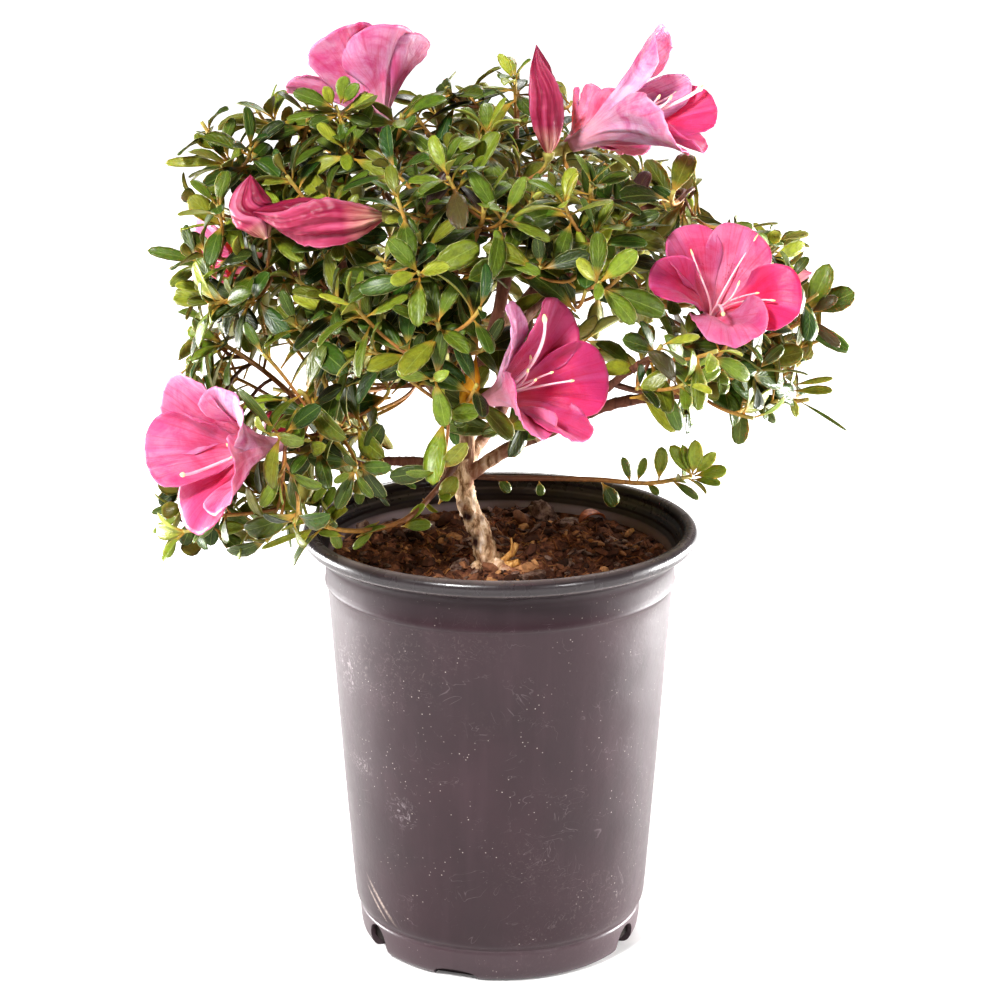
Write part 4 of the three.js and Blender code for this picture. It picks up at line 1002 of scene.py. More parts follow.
# Places on the petals that no leaf may hide: the row from which each bloom shows, and the lobes that leaves
# may cover
shown_from = {"top": 24, "side": 40, "behind": 20}
covered_lobes = {"top": (3, 4)}
petal_spots = []
for number, (name, bloom) in enumerate(blooms.items()):
    dice = np.random.default_rng(200 + number)
    skins, spots_uv, blotches, backs, pales = [], [], [], [], []
    for part in range(lobes):
        (front, back), uv = lobe(bloom, part, dice)
        skins += [front, back]
        if part not in covered_lobes.get(name, ()):
            petal_spots.append(front[shown_from.get(name, 14)::4, 1::4].reshape(-1, 3))
        spots_uv += [uv, uv]
        up = bloom_frame(bloom)[:2, 2]
        turn = 2 * np.pi * part / lobes + bloom["roll"]
        upper = math.cos(turn) * up[0] + math.sin(turn) * up[1] > 0.35
        blotch = upper * ease(uv[..., 0], 0.2, 0.35) * (1 - ease(uv[..., 0], 0.5, 0.68))
        blotch = blotch * (1 - ease(np.abs(uv[..., 1] - 0.5), 0.1, 0.3))
        blotches += [blotch, 0 * blotch]
        backs += [0 * blotch, 0 * blotch + 1]
        pales += [0 * blotch + bloom["lobes"][part][-1]] * 2
    each = 2 * lobe_rows * lobe_columns
    faces = repeat_faces(shell_faces(lobe_rows, lobe_columns), lobes, each)
    marks = {"blotch": np.stack(blotches), "back": np.stack(backs), "pale": np.stack(pales)}
    corolla = make_mesh(f"corolla_{name}", np.stack(skins), faces, rose, uv=np.stack(spots_uv), marks=marks)
    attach(corolla, "root")
    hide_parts(f"bloom_{name}")
    stalks, knob = filaments(bloom, name, number)
    faces = rod_faces(filament_count, filament_rows, filament_sides)
    knobs = np.repeat(knob[..., None], filament_sides, -1)
    heart = make_mesh(f"filaments_{name}", stalks, faces, filament_cream, marks={"knob": knobs})
    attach(heart, "root")
    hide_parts(f"stamens_{name}")


# Wilted blooms and buds: corollas rolled up into spindles, pleated along their length. The two wilted ones
# are streaked and limp. The buds are small and tight, one dark red and one green with a pink tip.
# Each has: its line, girth, number of pleats and slot.
spindle_rows, spindle_sides = 64, 60
rolled = {
    "wilted_bloom_upright": ([(19, -32, 341), (18, -33, 362), (14, -33, 384)], 6, 3, "wilted_petal"),
    "wilted_bloom_drooping": ([(-43, -76, 325), (-67, -75, 323), (-95, -66, 325)], 8.4, 3, "wilted_petal"),
    "wilted_bloom_drooping_petal": (
        [(-89, -63, 314), (-95, -61, 326), (-95, -60, 338)], 7.6, 2, "wilted_petal"),
    "bud_left": ([(-82, -51, 240), (-88, -53, 239), (-93, -54, 236)], 4.8, 3, "bud"),
    "bud_right": ([(114, -9, 286), (119, -10, 288.5), (126, -10, 290)], 2.9, 3, "bud"),
}


def spindle(points, girth, pleats, limp, seed):
    """A rolled flower: thin at both ends, wrapped in petals that overlap like a spiral and wind a little."""
    rows, sides = spindle_rows, spindle_sides
    line = smooth_way(points, rows)
    t = np.linspace(0, 1, rows)[:, None]
    turn = turns_round(sides)
    swell = np.maximum(0.16 * (1 - t) ** 2 + 0.03, np.sin(np.pi * t**0.85) ** 0.9)
    twist = (2.2 * t + 0.6 * np.sin(5 * t + seed) + 0.3 * np.sin(11 * t + 2 * seed)) / pleats
    wrap = pleats * turn / (2 * np.pi) % 1 + 0 * t
    fold = 1 + limp * (wrap**0.8 - 0.5) + 0.16 * limp * np.cos(3 * pleats * turn + 4 * t)
    radius = girth * swell * fold
    rod = tubes(line[None], np.ones((1, rows)), sides)[0] - line[:, None]
    around = turn - twist
    out = rod[:, :1] * np.cos(around)[..., None] + rod[:, sides // 4, None] * np.sin(around)[..., None]
    points = line[:, None] + out * radius[..., None]
    dents = waves(points, 5, seed) * 0.08 * girth * limp * swell
    uv = np.stack([t + 0 * turn, 0 * t + turn / (2 * np.pi)], -1)
    return points + out * dents[..., None], uv, wrap


wilted_rose = new_finish("wilted_petal", Specular_IOR_Level=0.35, Subsurface_Weight=0.2,
                         Subsurface_Scale=0.003)
along, _ = along_and_across(wilted_rose)
run = grain(places(wilted_rose, "UV", (1.6, 18, 1)), 1, 4, 0.6, 0.5)
shade = ramp(run, (0.3, "#5c0f28"), (0.46, "#83193a"), (0.6, "#a03356"), (0.78, "#bb6585"))
base = ramp(along, (0.02, 0.9), (0.3, 0))
shade = blended(base, shade, ramp(run, (0.4, "#a04a48"), (0.62, "#e6bfa2")))
wrap = marked(wilted_rose, "wrap")
# Painted shade: the petal is darker just under each wrapped edge, where the edge above it shades it
shade = blended(ramp(wrap, (0, 0.7), (0.22, 0)), shade, "#6d1029")
shade = blended(ramp(wrap, (0.84, 0), (0.97, 0.55)), shade, "#c67a95")
dress(shade, ramp(run, (0.3, 0.4), (0.7, 0.6)), run, 0.6)

bud_finish = {}
for name, tones in {
    "bud_left": ((0, "#6d6a30"), (0.16, "#8d2136"), (0.5, "#a81c40"), (1, "#7a1430")),
    "bud_right": ((0, "#56672c"), (0.35, "#7c8a44"), (0.6, "#d38a92"), (1, "#d6587f")),
}.items():
    finish = new_finish(f"{name}_skin", Roughness=0.45, Subsurface_Weight=0.1, Subsurface_Scale=0.002)
    along, _ = along_and_across(finish)
    lines = grain(places(finish, "UV", (1.5, 16, 1)), 1, 3)
    shade = ramp(along, *tones)
    shade = blended(ramp(lines, (0.45, 0), (0.7, 0.5)), shade, tones[2][1])
    dress(shade, None, lines, 0.4)
    bud_finish[name] = finish

for number, (name, (points, girth, pleats, slot)) in enumerate(rolled.items()):
    limp = 0.42 if slot == "wilted_petal" else 0.14
    skin, uv, wrap = spindle(points, girth, pleats, limp, 90 + number)
    finish = bud_finish.get(name, wilted_rose)
    faces = tube_faces(spindle_rows, spindle_sides)
    piece = make_mesh(f"rolled_{name}", skin, faces, finish, uv=uv, marks={"wrap": wrap})
    if slot == "wilted_petal":
        petal_spots.append(skin[8::6, ::6].reshape(-1, 3))
    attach(piece, "root")
    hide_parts(name.removesuffix("_petal"))


# Leafy boughs: each is a twig with side shoots, and each shoot ends in a rosette of leathery oval leaves.
# The wood is reddish where it is old and yellow-green at the tips. Leaves are glossy and finely hairy.
# Each has: the limb it grows on, the share along that limb, and the tips of its main and its side shoots.
boughs = {
    "top": ("leader", 1, [(7, 16, 367), (-12, 16, 359), (29, 14, 356)]),
    "top_left": ("leader", 0.86, [(-26, 18, 352), (-63, -20, 352), (-64, -28, 360)]),
    "top_front": ("leader", 0.74, [(-5, -38, 351), (-21, -76, 341)]),
    "high_front": ("front", 1, [(-6, -85, 331), (-15, -90, 308), (-43, -95, 310), (14, -78, 312),
                                (30, -84, 306)]),
    "top_right": ("rising", 0.72, [(35, -60, 335), (50, -48, 322)]),
    "right_high": ("rising", 1, [(67, -48, 330), (78, -15, 315), (76, 38, 312)]),
    "right_mid": ("rising", 0.5, [(36, -84, 320), (32, -92, 300)]),
    "front": ("front", 0.8, [(-23, -112, 292), (-34, -100, 278)]),
    "front_low": ("front", 0.55, [(-22, -98, 254), (2, -82, 244)]),
    "front_right": ("frontRight", 1, [(60, -102, 281), (52, -98, 264)]),
    "right_front": ("frontRight", 0.7, [(82, -80, 266), (99, -62, 262)]),
    "right_low": ("right", 1, [(125, -20, 240), (110, -46, 246), (98, -40, 245), (117, -22, 243)]),
    "right_side": ("right", 0.78, [(120, -36, 276), (135, -8, 264), (127, -22, 284)]),
    "right_upper": ("rising", 0.85, [(112, -2, 302), (116, 32, 292)]),
    "left_low": ("left", 1, [(-77, -78, 258), (-61, -62, 240), (-58, -30, 228), (-95, -45, 207),
                             (-80, -40, 210), (-98, -52, 196)]),
    "left_side": ("left", 0.8, [(-118, -12, 264), (-115, 12, 243), (-125, -30, 204), (-126, -50, 193),
                                (-128, -30, 198), (-122, -8, 268)]),
    "left_front": ("leftRising", 0.6, [(-77, -74, 282), (-50, -78, 284)]),
    "left_upper": ("leftRising", 1, [(-110, 6, 334), (-92, 10, 350), (-76, 10, 338), (-108, -12, 334),
                                     (-109, -22, 313)]),
    "left_middle": ("leftRising", 0.82, [(-118, -40, 300), (-98, -50, 302), (-118, -20, 296),
                                         (-112, -48, 289), (-116, -42, 306)]),
    "left_crown": ("leftRising", 0.9, [(-66, -50, 327), (-84, -34, 320)]),
    "runner_right": ("right", 0.08, [(80, 4, 201)]),
    "runner_left": ("left", 0.12, [(-77, -56, 199)]),
    "back_left": ("backLeft", 1, [(-58, 88, 318), (-30, 100, 306), (-76, 72, 298)]),
    "back_left_low": ("backLeft", 0.62, [(-80, 72, 264), (-106, 48, 282), (-50, 92, 270)]),
    "back_right": ("backRight", 1, [(62, 86, 314), (34, 98, 308), (86, 66, 300)]),
    "back_right_low": ("backRight", 0.62, [(94, 66, 268), (114, 36, 252), (58, 92, 274)]),
    "back_low": ("backLow", 1, [(14, 104, 256), (38, 92, 240), (-16, 98, 244)]),
    "back_top": ("leader", 0.66, [(-8, 54, 346), (26, 58, 342), (2, 84, 328)]),
    "back_crown": ("leader", 0.8, [(-48, 42, 342), (-80, 42, 328)]),
    "back_side": ("backLow", 0.5, [(-96, 30, 232), (-70, 58, 230)]),
}
# The blooms and buds that each bough bears
bears = {
    "top_left": ["top"], "top_front": ["wilted_bloom_upright"], "high_front": ["wilted_bloom_drooping"],
    "top_right": ["crest"], "front_low": ["centre"], "right_front": ["right"], "right_side": ["bud_right"],
    "left_low": ["left", "bud_left"], "left_middle": ["side"], "back_top": ["behind"],
}
crown_centre, crown_radii = np.array([5, 0, 280]), np.array([142, 118, 98])
shoot_rows, shoot_sides = 16, 6
# One leaf: where its rows lie along it and how wide each is, then the places across a row and which of
# them are on the under side
leaf_rows = np.array([0, 0.12, 0.25, 0.43, 0.62, 0.82, 0.945])
leaf_widths = np.array([0.1, 0.14, 0.42, 0.82, 1, 0.88, 0.55])
leaf_across = np.array([-1, -0.52, 0, 0.52, 1, 0.52, 0, -0.52])
leaf_under = np.array([0.5, 0, 0, 0, 0.5, 1, 1, 1])
leaf_sides = len(leaf_across)
golden_angle = 2.39996

# The runners' lines. The crown's edge and its two windows are (x, z) as seen from the front, on the upright
# plane through the trunk.
runner_ways = {
    "runner_left": [(-16, -15, 215), (-20, -18, 209), (-28, -26, 201), (-38, -36, 194), (-52, -44, 192),
                    (-65, -50, 194), (-77, -54, 199)],
    "runner_right": [(-14, -12, 206), (-3, -13, 205), (16, -10, 204), (41, -5, 202), (62, 0, 199),
                     (80, 4, 201)],
}
crown_edge = np.array([
    (-155, 171), (-153, 192), (-139, 204), (-141, 243), (-129, 257), (-132, 277), (-144, 295),
    (-133, 303), (-132, 316), (-136, 332), (-125, 346), (-111, 356), (-95, 363), (-84, 367), (-64, 368),
    (-46, 366), (-38, 358), (-28, 365), (-21, 370), (-8, 372), (-4, 378), (9, 380), (16, 375),
    (26, 371), (39, 369), (44, 360), (56, 347), (85, 337), (82, 328), (81, 316), (87, 307), (97, 311),
    (109, 310), (123, 308), (129, 297), (127, 278), (130, 262), (127, 247), (121, 237), (112, 226),
    (99, 222), (93, 234), (81, 223), (74, 219), (62, 222), (55, 234), (45, 234), (37, 221), (25, 219),
    (12, 203), (2, 211), (-5, 215), (-19, 207), (-25, 203), (-29, 190), (-40, 179), (-63, 174),
    (-84, 170), (-100, 170), (-107, 166), (-121, 169), (-136, 165), (-153, 166),
])
crown_windows = [
    np.array([(-53, 241), (-30, 243), (-24, 234), (-25, 215), (-35, 212), (-48, 221)]),
    np.array([(-108, 255), (-86, 256), (-75, 247), (-87, 236), (-103, 234), (-107, 243)]),
]
# Single leaves of another colour: the bough, the place and the tint
tinted = {"right_side": ((121, -18, 274), 0.85), "front": ((-12, -98, 264), 1)}

# Single leaves at the crown's edge, each with its foot, its tip, its width and how young it is
edge_leaves = {
    "top_left": [
        (-64, -30, 359, -80, -33, 366, 6.4, 0.5), (-62, -30, 361, -60, -34, 372, 6, 0.8),
        (-61, -30, 361, -55, -34, 369, 5.6, 0.85), (-60, -30, 358, -48, -34, 364, 6.4, 0.6),
        (-61, -31, 356, -50, -36, 354, 5.6, 0.3), (-64, -31, 356, -74, -36, 353, 6.8, 0.3),
        (-65, -30, 360, -68, -34, 368, 5.2, 0.7), (-62, -31, 356, -60, -36, 346, 5.6, 0.2),
    ],
    "right_side": [
        (124, -12, 274, 132, -15, 294, 9.7, 0.5), (126, -8, 273, 144, -11, 283, 10.9, 0.4),
        (125, -16, 275, 135, -19, 282, 5.3, 1), (121, -18, 274, 137, -21, 262, 4.9, 0.3),
        (119, -6, 269, 145, -9, 257, 8.9, 0.2), (115, -2, 284, 125, -5, 289, 8.1, 0.1),
        (110, 0, 299, 103, -3, 309, 3.2, 0.5), (108, -4, 300, 112, -7, 306, 5.7, 0.6),
        (110, 2, 297, 122, -1, 306, 1.6, 0.4), (111, 4, 295, 128, 1, 295, 2, 0.5),
    ],
    "right_low": [
        (96, -40, 244, 95, -43, 227, 7.3, 0.4), (100, -38, 243, 110, -41, 236, 4.5, 0.3),
        (116, -30, 244, 119, -33, 236, 4.1, 0.6), (118, -21, 241, 141, -24, 228, 1.6, 0.4),
        (118, -22, 244, 134, -25, 245, 4.2, 0.6), (118, -21, 246, 134, -24, 250, 2.6, 0.5),
        (79, -50, 254, 95, -53, 246, 13, 0.15), (103, -44, 261, 119, -47, 266, 9.7, 0.25),
        (89, -48, 266, 102, -51, 259, 8.1, 0.15), (62, -56, 255, 71, -59, 237, 6.9, 0.2),
        (55, -50, 250, 69, -53, 235, 6.5, 0.25),
    ],
    "left_upper": [
        (-107, -12, 334, -133, -15, 336, 4.5, 0.3), (-113, -8, 339, -121, -11, 346, 5.7, 0.3),
        (-111, -6, 340, -106, -9, 352, 5.3, 0.5), (-92, -20, 325, -123, -23, 325, 2.4, 0.3),
        (-110, -24, 311, -122, -27, 324, 8.9, 0.25), (-99, -16, 341, -92, -19, 331, 4.9, 0.2),
    ],
    "left_middle": [
        (-118, -20, 296, -140, -23, 302, 5.7, 0.3), (-117, -22, 297, -132, -25, 288, 5.3, 0.2),
        (-118, -16, 297, -127, -19, 310, 4.5, 0.4), (-115, -14, 271, -126, -17, 266, 6.1, 0.75),
        (-111, -18, 276, -121, -21, 276, 5.7, 0.4), (-104, -24, 270, -100, -27, 261, 5.3, 0.4),
    ],
    "left_side": [
        (-127, -30, 195, -148, -33, 184, 4.9, 0.75), (-131, -34, 189, -135, -37, 178, 4.5, 0.8),
        (-123, -36, 195, -128, -39, 184, 6.9, 0.1), (-114, -48, 194, -102, -51, 184, 7.7, 0.35),
        (-130, -26, 200, -149, -29, 191, 2.8, 0.1), (-129, -28, 205, -138, -31, 199, 6.9, 0.1),
        (-138, -18, 207, -149, -21, 203, 3.2, 0.2), (-128, -30, 198, -141, -33, 196, 3.6, 0.2),
    ],
    "runner_right": [
        (80, 3, 201, 71, 0, 215, 6.8, 0.9), (80, 3, 202, 81, 0, 217, 7.4, 0.95),
        (81, 4, 201, 94, 0, 205, 6.2, 0.95), (80, 3, 200, 92, 0, 199, 4.4, 0.85),
        (79, 3, 202, 76, 0, 215, 4.4, 0.95), (81, 3, 202, 89, 0, 212, 5.6, 0.95),
        (66, 1, 200, 67, -2, 215, 6, 0.45), (54, -2, 200, 51, -4, 211, 4.2, 0.4),
        (57, -1, 200, 60, -4, 211, 4, 0.4), (42, -5, 201, 48, -7, 191, 6.8, 0.35),
        (71, 2, 200, 83, 0, 192, 4.2, 0.3), (16, -10, 203, 17, -12, 197, 4, 0.35),
        (-1, -12, 205, 4, -14, 199, 4.8, 0.3), (61, 0, 199, 66, -3, 195, 3.6, 0.3),
    ],
    "runner_left": [
        (-79, -50, 202, -90, -53, 208, 6.9, 0.85), (-77, -54, 200, -96, -57, 202, 2.4, 0.9),
        (-71, -56, 197, -95, -59, 189, 2.8, 0.6), (-76, -48, 203, -69, -51, 213, 4.5, 0.95),
        (-71, -46, 200, -66, -49, 211, 4.5, 0.9), (-72, -52, 199, -61, -55, 205, 4.9, 0.9),
        (-62, -50, 191, -72, -53, 194, 3.6, 0.7), (-40, -36, 191, -28, -39, 193, 5.7, 0.5),
        (-25, -24, 197, -18, -27, 209, 7.7, 0.3), (-50, -44, 192, -59, -47, 185, 3.6, 0.6),
    ],
}


def seen_in_front(points):
    """Where points appear, as (x, z), on the upright plane through the trunk, seen from the front."""
    share = eye_back / (points[..., 1] + eye_back)
    return np.stack([points[..., 0] * share, eye_high + (points[..., 2] - eye_high) * share], -1)


def within(spots, outline):
    """True for each spot in a closed outline, where a level line from it crosses the outline an odd number
    of times."""
    x, z = spots[..., 0, None], spots[..., 1, None]
    after = np.roll(outline, -1, 0)
    climb = np.where(after[:, 1] == outline[:, 1], 1e-9, after[:, 1] - outline[:, 1])
    cross = outline[:, 0] + (z - outline[:, 1]) * (after[:, 0] - outline[:, 0]) / climb
    return (((outline[:, 1] > z) != (after[:, 1] > z)) & (x < cross)).sum(-1) % 2 == 1


def outward_at(tip, lies):
    """The way a shoot faces at its tip: out of the crown's round outline, and well up."""
    out = unit((np.asarray(tip) - crown_centre) / crown_radii**2) * [0.9, 0.55, 0.8] + [0, 0, 0.65]
    if lies:
        out[2] = 0.3
    return unit(out)


def bent_way(start, first, second, end):
    """A twig's line: a Bezier curve at even lengths."""
    t = np.linspace(0, 1, shoot_rows * 3)[:, None]
    return even_way(bezier(t, start, first, second, end), shoot_rows)


def branching(axis, towards):
    """The way a branch leaves another: well to the side of it, and a little along it."""
    across = unit(towards - (towards * axis).sum() * axis)
    return unit(across + 0.45 * axis)


def shoot(start, along, tip, outward):
    """A shoot's line, from where it forks to its tip."""
    reach = np.linalg.norm(tip - start)
    return bent_way(start, start + along * reach * 0.4, tip - outward * reach * 0.35, tip)


def leaves_of(rosettes, dice):
    """A row for each leaf of each rosette: its foot, the way along it, its upper side, its length and width,
    how young it is and its rosette. Leaves follow each other by the golden angle: the inner ones are small
    and stand up, the outer ones are long, lie open and droop."""
    out = []
    for number, (tip, outward, size, count, young) in enumerate(rosettes):
        i = np.arange(count)
        share = (i + 0.5) / count
        turn = golden_angle * i + dice.uniform(0, 6.3) + dice.uniform(-0.25, 0.25, count)
        opening = np.radians(20 + 72 * share**0.75 + dice.uniform(-13, 13, count))
        level = unit(np.cross([0.02, 0.01, 1], outward))
        radial = level * np.cos(turn)[:, None] + np.cross(outward, level) * np.sin(turn)[:, None]
        along = outward * np.cos(opening)[:, None] + radial * np.sin(opening)[:, None]
        sag = np.stack([0 * share, 0 * share, -0.3 * share * dice.uniform(0, 1, count)], -1)
        along = unit(along + sag)
        square = outward * np.sin(opening)[:, None] - radial * np.cos(opening)[:, None]
        upper = unit(square + dice.normal(0, 0.2, (count, 3)))
        length = size * (0.42 + 0.58 * share**0.6) * dice.uniform(0.85, 1.1, count)
        foot = tip - outward * (0.3 + 11 * share**1.3)[:, None] + radial * 0.4
        width = length * dice.uniform(0.33, 0.43, count)
        youth = np.clip(young * (1.25 - share) + dice.uniform(-0.12, 0.12, count), 0, 1)
        rest = np.stack([length, width, youth, 0 * youth + number], -1)
        out.append(np.concatenate([foot, along, upper, rest], -1))
    return np.concatenate(out)


def on_leaf(leaves, share):
    """The point at a share of the length of each leaf."""
    return leaves[:, 0:3] + leaves[:, 3:6] * (leaves[:, 9:10] * share)


def leaves_at_edge(name):
    """The bough's single edge leaves, in the form that leaves_of gives. Their upper sides face the front."""
    table = np.array(edge_leaves[name], float)
    foot, way = table[:, 0:3], table[:, 3:6] - table[:, 0:3]
    along = unit(way)
    front = np.array([0.1, -0.85, 0.5])
    upper = unit(front - (along @ front)[:, None] * along)
    return np.concatenate([foot, along, upper, lengths(way), table[:, 6:8], 0 * lengths(way)], -1)


def leaf_blades(leaves, dice):
    """Leaf blades, all at once: across each row a section that is folded along its middle and thin at its
    rim, along the leaf an arch, with a width that is greatest past the middle and ends in a short point."""
    foot, along, upper = leaves[:, 0:3], leaves[:, 3:6], leaves[:, 6:9]
    length, width = leaves[:, 9], leaves[:, 10]
    count = len(leaves)
    side = unit(np.cross(upper, along))
    face = np.cross(along, side)
    fold = dice.uniform(0.05, 0.5, count)[:, None, None]
    arch = dice.uniform(0.1, 1.0, count)[:, None, None]
    twist = dice.uniform(-0.3, 0.3, count)[:, None, None]
    curl = dice.uniform(-0.1, 0.16, count)[:, None, None]
    across, under = leaf_across[None, None], leaf_under[None, None]
    u = leaf_rows[None, :, None]
    half = width[:, None, None] / 2 * leaf_widths[None, :, None]
    span = length[:, None, None]
    bow = span * arch * (0.36 * u - 0.5 * u * u)
    wings = half * np.abs(across) * (fold - curl * np.abs(across))
    half_thick, groove = 0.26, -0.12
    thick = np.where(under == 0.5, 0, half_thick) * (1 - 2 * under)
    rise = bow + wings + thick + np.where(across == 0, groove, 0)
    reach = half * across * (1 - 0.25 * fold**2)
    reach, rise = reach - twist * u * rise * 0.3, rise + twist * u * half * across
    points = (foot[:, None, None] + along[:, None, None] * (u * span)[..., None]
              + side[:, None, None] * reach[..., None] + face[:, None, None] * rise[..., None])
    end = foot + along * length[:, None] + face * (span * arch * (0.36 - 0.5))[:, 0]
    points = np.concatenate([points.reshape(count, -1, 3), end[:, None]], 1)
    uv = np.stack([u + 0 * across, 0 * u + (across + 1) / 2], -1)
    uv = np.broadcast_to(uv, (count, len(leaf_rows), leaf_sides, 2)).reshape(count, -1, 2)
    uv = np.concatenate([uv, np.broadcast_to([[[1, 0.5]]], (count, 1, 2))], 1)
    unders = np.broadcast_to(under + 0 * u, (count, len(leaf_rows), leaf_sides)).reshape(count, -1)
    unders = np.concatenate([unders, np.full((count, 1), 0.5)], 1)
    return points, uv, unders


def leaf_faces():
    """One blade: rings of points along the leaf, closed by a point at the tip and a cap at the foot."""
    rows, sides = len(leaf_rows), leaf_sides
    ring = (rows - 1) * sides + np.arange(sides)
    tip = np.stack([ring, np.roll(ring, -1), np.full(sides, rows * sides)], -1)
    return [grid_faces(rows, sides, wrap=True, flip=True), tip[:, ::-1], np.arange(sides)[None]]


def clear_of_blooms(leaves):
    """True for each leaf that stays out of every bloom: no point of it is within an open bloom's funnel, or
    near the middle of a rolled one."""
    clear = np.ones(len(leaves), bool)
    for bloom in blooms.values():
        _, radius, height, _ = side_line(bloom["spread"], 0)
        for share in (0.35, 0.7, 1):
            off_base = on_leaf(leaves, share) - np.array(bloom["base"])
            local = off_base @ bloom_frame(bloom).T / bloom["size"]
            wide = np.interp(local[:, 2], height, radius) + 1.0
            off, up = np.hypot(local[:, 0], local[:, 1]), local[:, 2]
            clear &= ~((up > 2) & (up < height.max() * 1.35) & (off < wide))
    for points, girth, _, _ in rolled.values():
        line = smooth_way(points, 12)
        for share in (0.4, 0.7, 1):
            clear &= lengths(on_leaf(leaves, share)[:, None] - line[None])[..., 0].min(1) > girth + 1.2
    return clear


def kept_in_box(leaves):
    """Shortens each leaf that would reach out of the plant's own bounds, and drops it if little is left."""
    margin, least = 2.6, 0.45
    low, high = np.array(cad_box[0]) / MM + margin, np.array(cad_box[1]) / MM - margin
    ahead = leaves[:, 3:6] * leaves[:, 9:10]
    room = np.where(ahead > 0, high - leaves[:, 0:3], low - leaves[:, 0:3])
    share = np.clip((room / np.where(np.abs(ahead) < 1e-6, 1e-6, ahead)).min(1), 0, 1)
    leaves = leaves.copy()
    leaves[:, 9:11] *= share[:, None]
    return leaves[share > least]


def in_the_crown(leaves):
    """True for each leaf that lies within the crown's edge and out of its windows, seen from the front."""
    middle, tip = (seen_in_front(on_leaf(leaves, share)) for share in (0.6, 0.97))
    kept = within(middle, crown_edge) & within(tip, crown_edge)
    for window in crown_windows:
        kept &= ~within(middle, window) & ~within(tip, window)
    return kept


def shows_the_blooms(lines):
    """True for each leaf or twig, given as points along it, that hides no outer part of a bloom from the
    front."""
    nearby = 3.2
    petals = np.concatenate(petal_spots)
    flat = seen_in_front(petals)
    kept = np.ones(len(lines), bool)
    for spot in np.moveaxis(lines, 1, 0):
        near = np.abs(seen_in_front(spot)[:, None] - flat[None]).max(-1) < nearby
        kept &= ~(near & (spot[:, None, 1] < petals[None, :, 1])).any(1)
    return kept


leaf_skin = new_finish("glossy_leaf", Specular_IOR_Level=0.28, Coat_Weight=0.1, Coat_Roughness=0.22,
                       Subsurface_Weight=0.06, Subsurface_Scale=0.002)
here = places(leaf_skin)
along, across = along_and_across(leaf_skin)
middle = sums("ABSOLUTE", sums("SUBTRACT", across, 0.5))
tone = marked(leaf_skin, "tone")
youth = marked(leaf_skin, "youth")
under = marked(leaf_skin, "under")
old = ramp(tone, (0, "#182406"), (0.3, "#2c3b09"), (0.55, "#20480f"), (0.8, "#47530f"), (1, "#6d6f1d"))
fresh = ramp(tone, (0, "#61781c"), (0.6, "#87972a"), (1, "#b1b63e"))
green = blended(youth, old, fresh)
mottle = grain(here, 420, 4, 0.6)
green = blended(ramp(mottle, (0.42, 0), (0.75, 0.45)), green, "#11160a")
slant = sums("ADD", times(along, 42.0), times(middle, -38.0))
ribs = sums("SINE", slant)
green = blended(ramp(ribs, (0.86, 0), (1, 0.05)), green, "#8a9450")
green = blended(ramp(middle, (0, 0.5), (0.03, 0)), green, "#8b9a4e")
fuzz = grain(here, 2600, 2, 0.5)
green = blended(ramp(fuzz, (0.62, 0), (0.75, 0.22)), green, "#b5b27a")
# A pale cream rim along each leaf's edge: partly the pale hairs there, and partly a painted highlight of
# light catching them
green = blended(ramp(middle, (0.45, 0), (0.49, 0.6)), green, "#b9b47c")
below = blended(ramp(mottle, (0.3, 0), (0.8, 0.5)), "#8f8c44", "#6f6432")
green = blended(ramp(under, (0.6, 0), (0.9, 0.9)), green, below)
green = blended(ramp(along, (0.08, 0.95), (0.34, 0)), green, "#bb8f3e")
blush = marked(leaf_skin, "blush")
green = blended(times(blush, 0.9), green,
                ramp(blush, (0, "#4a1f2c"), (0.9, "#3a1823"), (1, "#cf951d")))
relief = sums("ADD", times(ribs, -0.1), times(mottle, 1.0))
dress(green, ramp(mottle, (0.3, 0.36), (0.7, 0.58)), relief, 0.3)

twig_skin = new_finish("young_twig_bark", Roughness=0.6)
here = places(twig_skin)
age = marked(twig_skin, "youth")
shade = ramp(age, (0, "#4d2f26"), (0.3, "#74462c"), (0.6, "#a06c31"), (0.85, "#b48a41"), (1, "#a39a4c"))
speckle = grain(here, 600, 4)
shade = blended(ramp(speckle, (0.42, 0), (0.72, 0.5)), shade, "#4a2b1c")
dress(shade, None, speckle, 0.4)


def at_level(level):
    """The row of a shoot at a share of its length."""
    return int(level * (shoot_rows - 1))


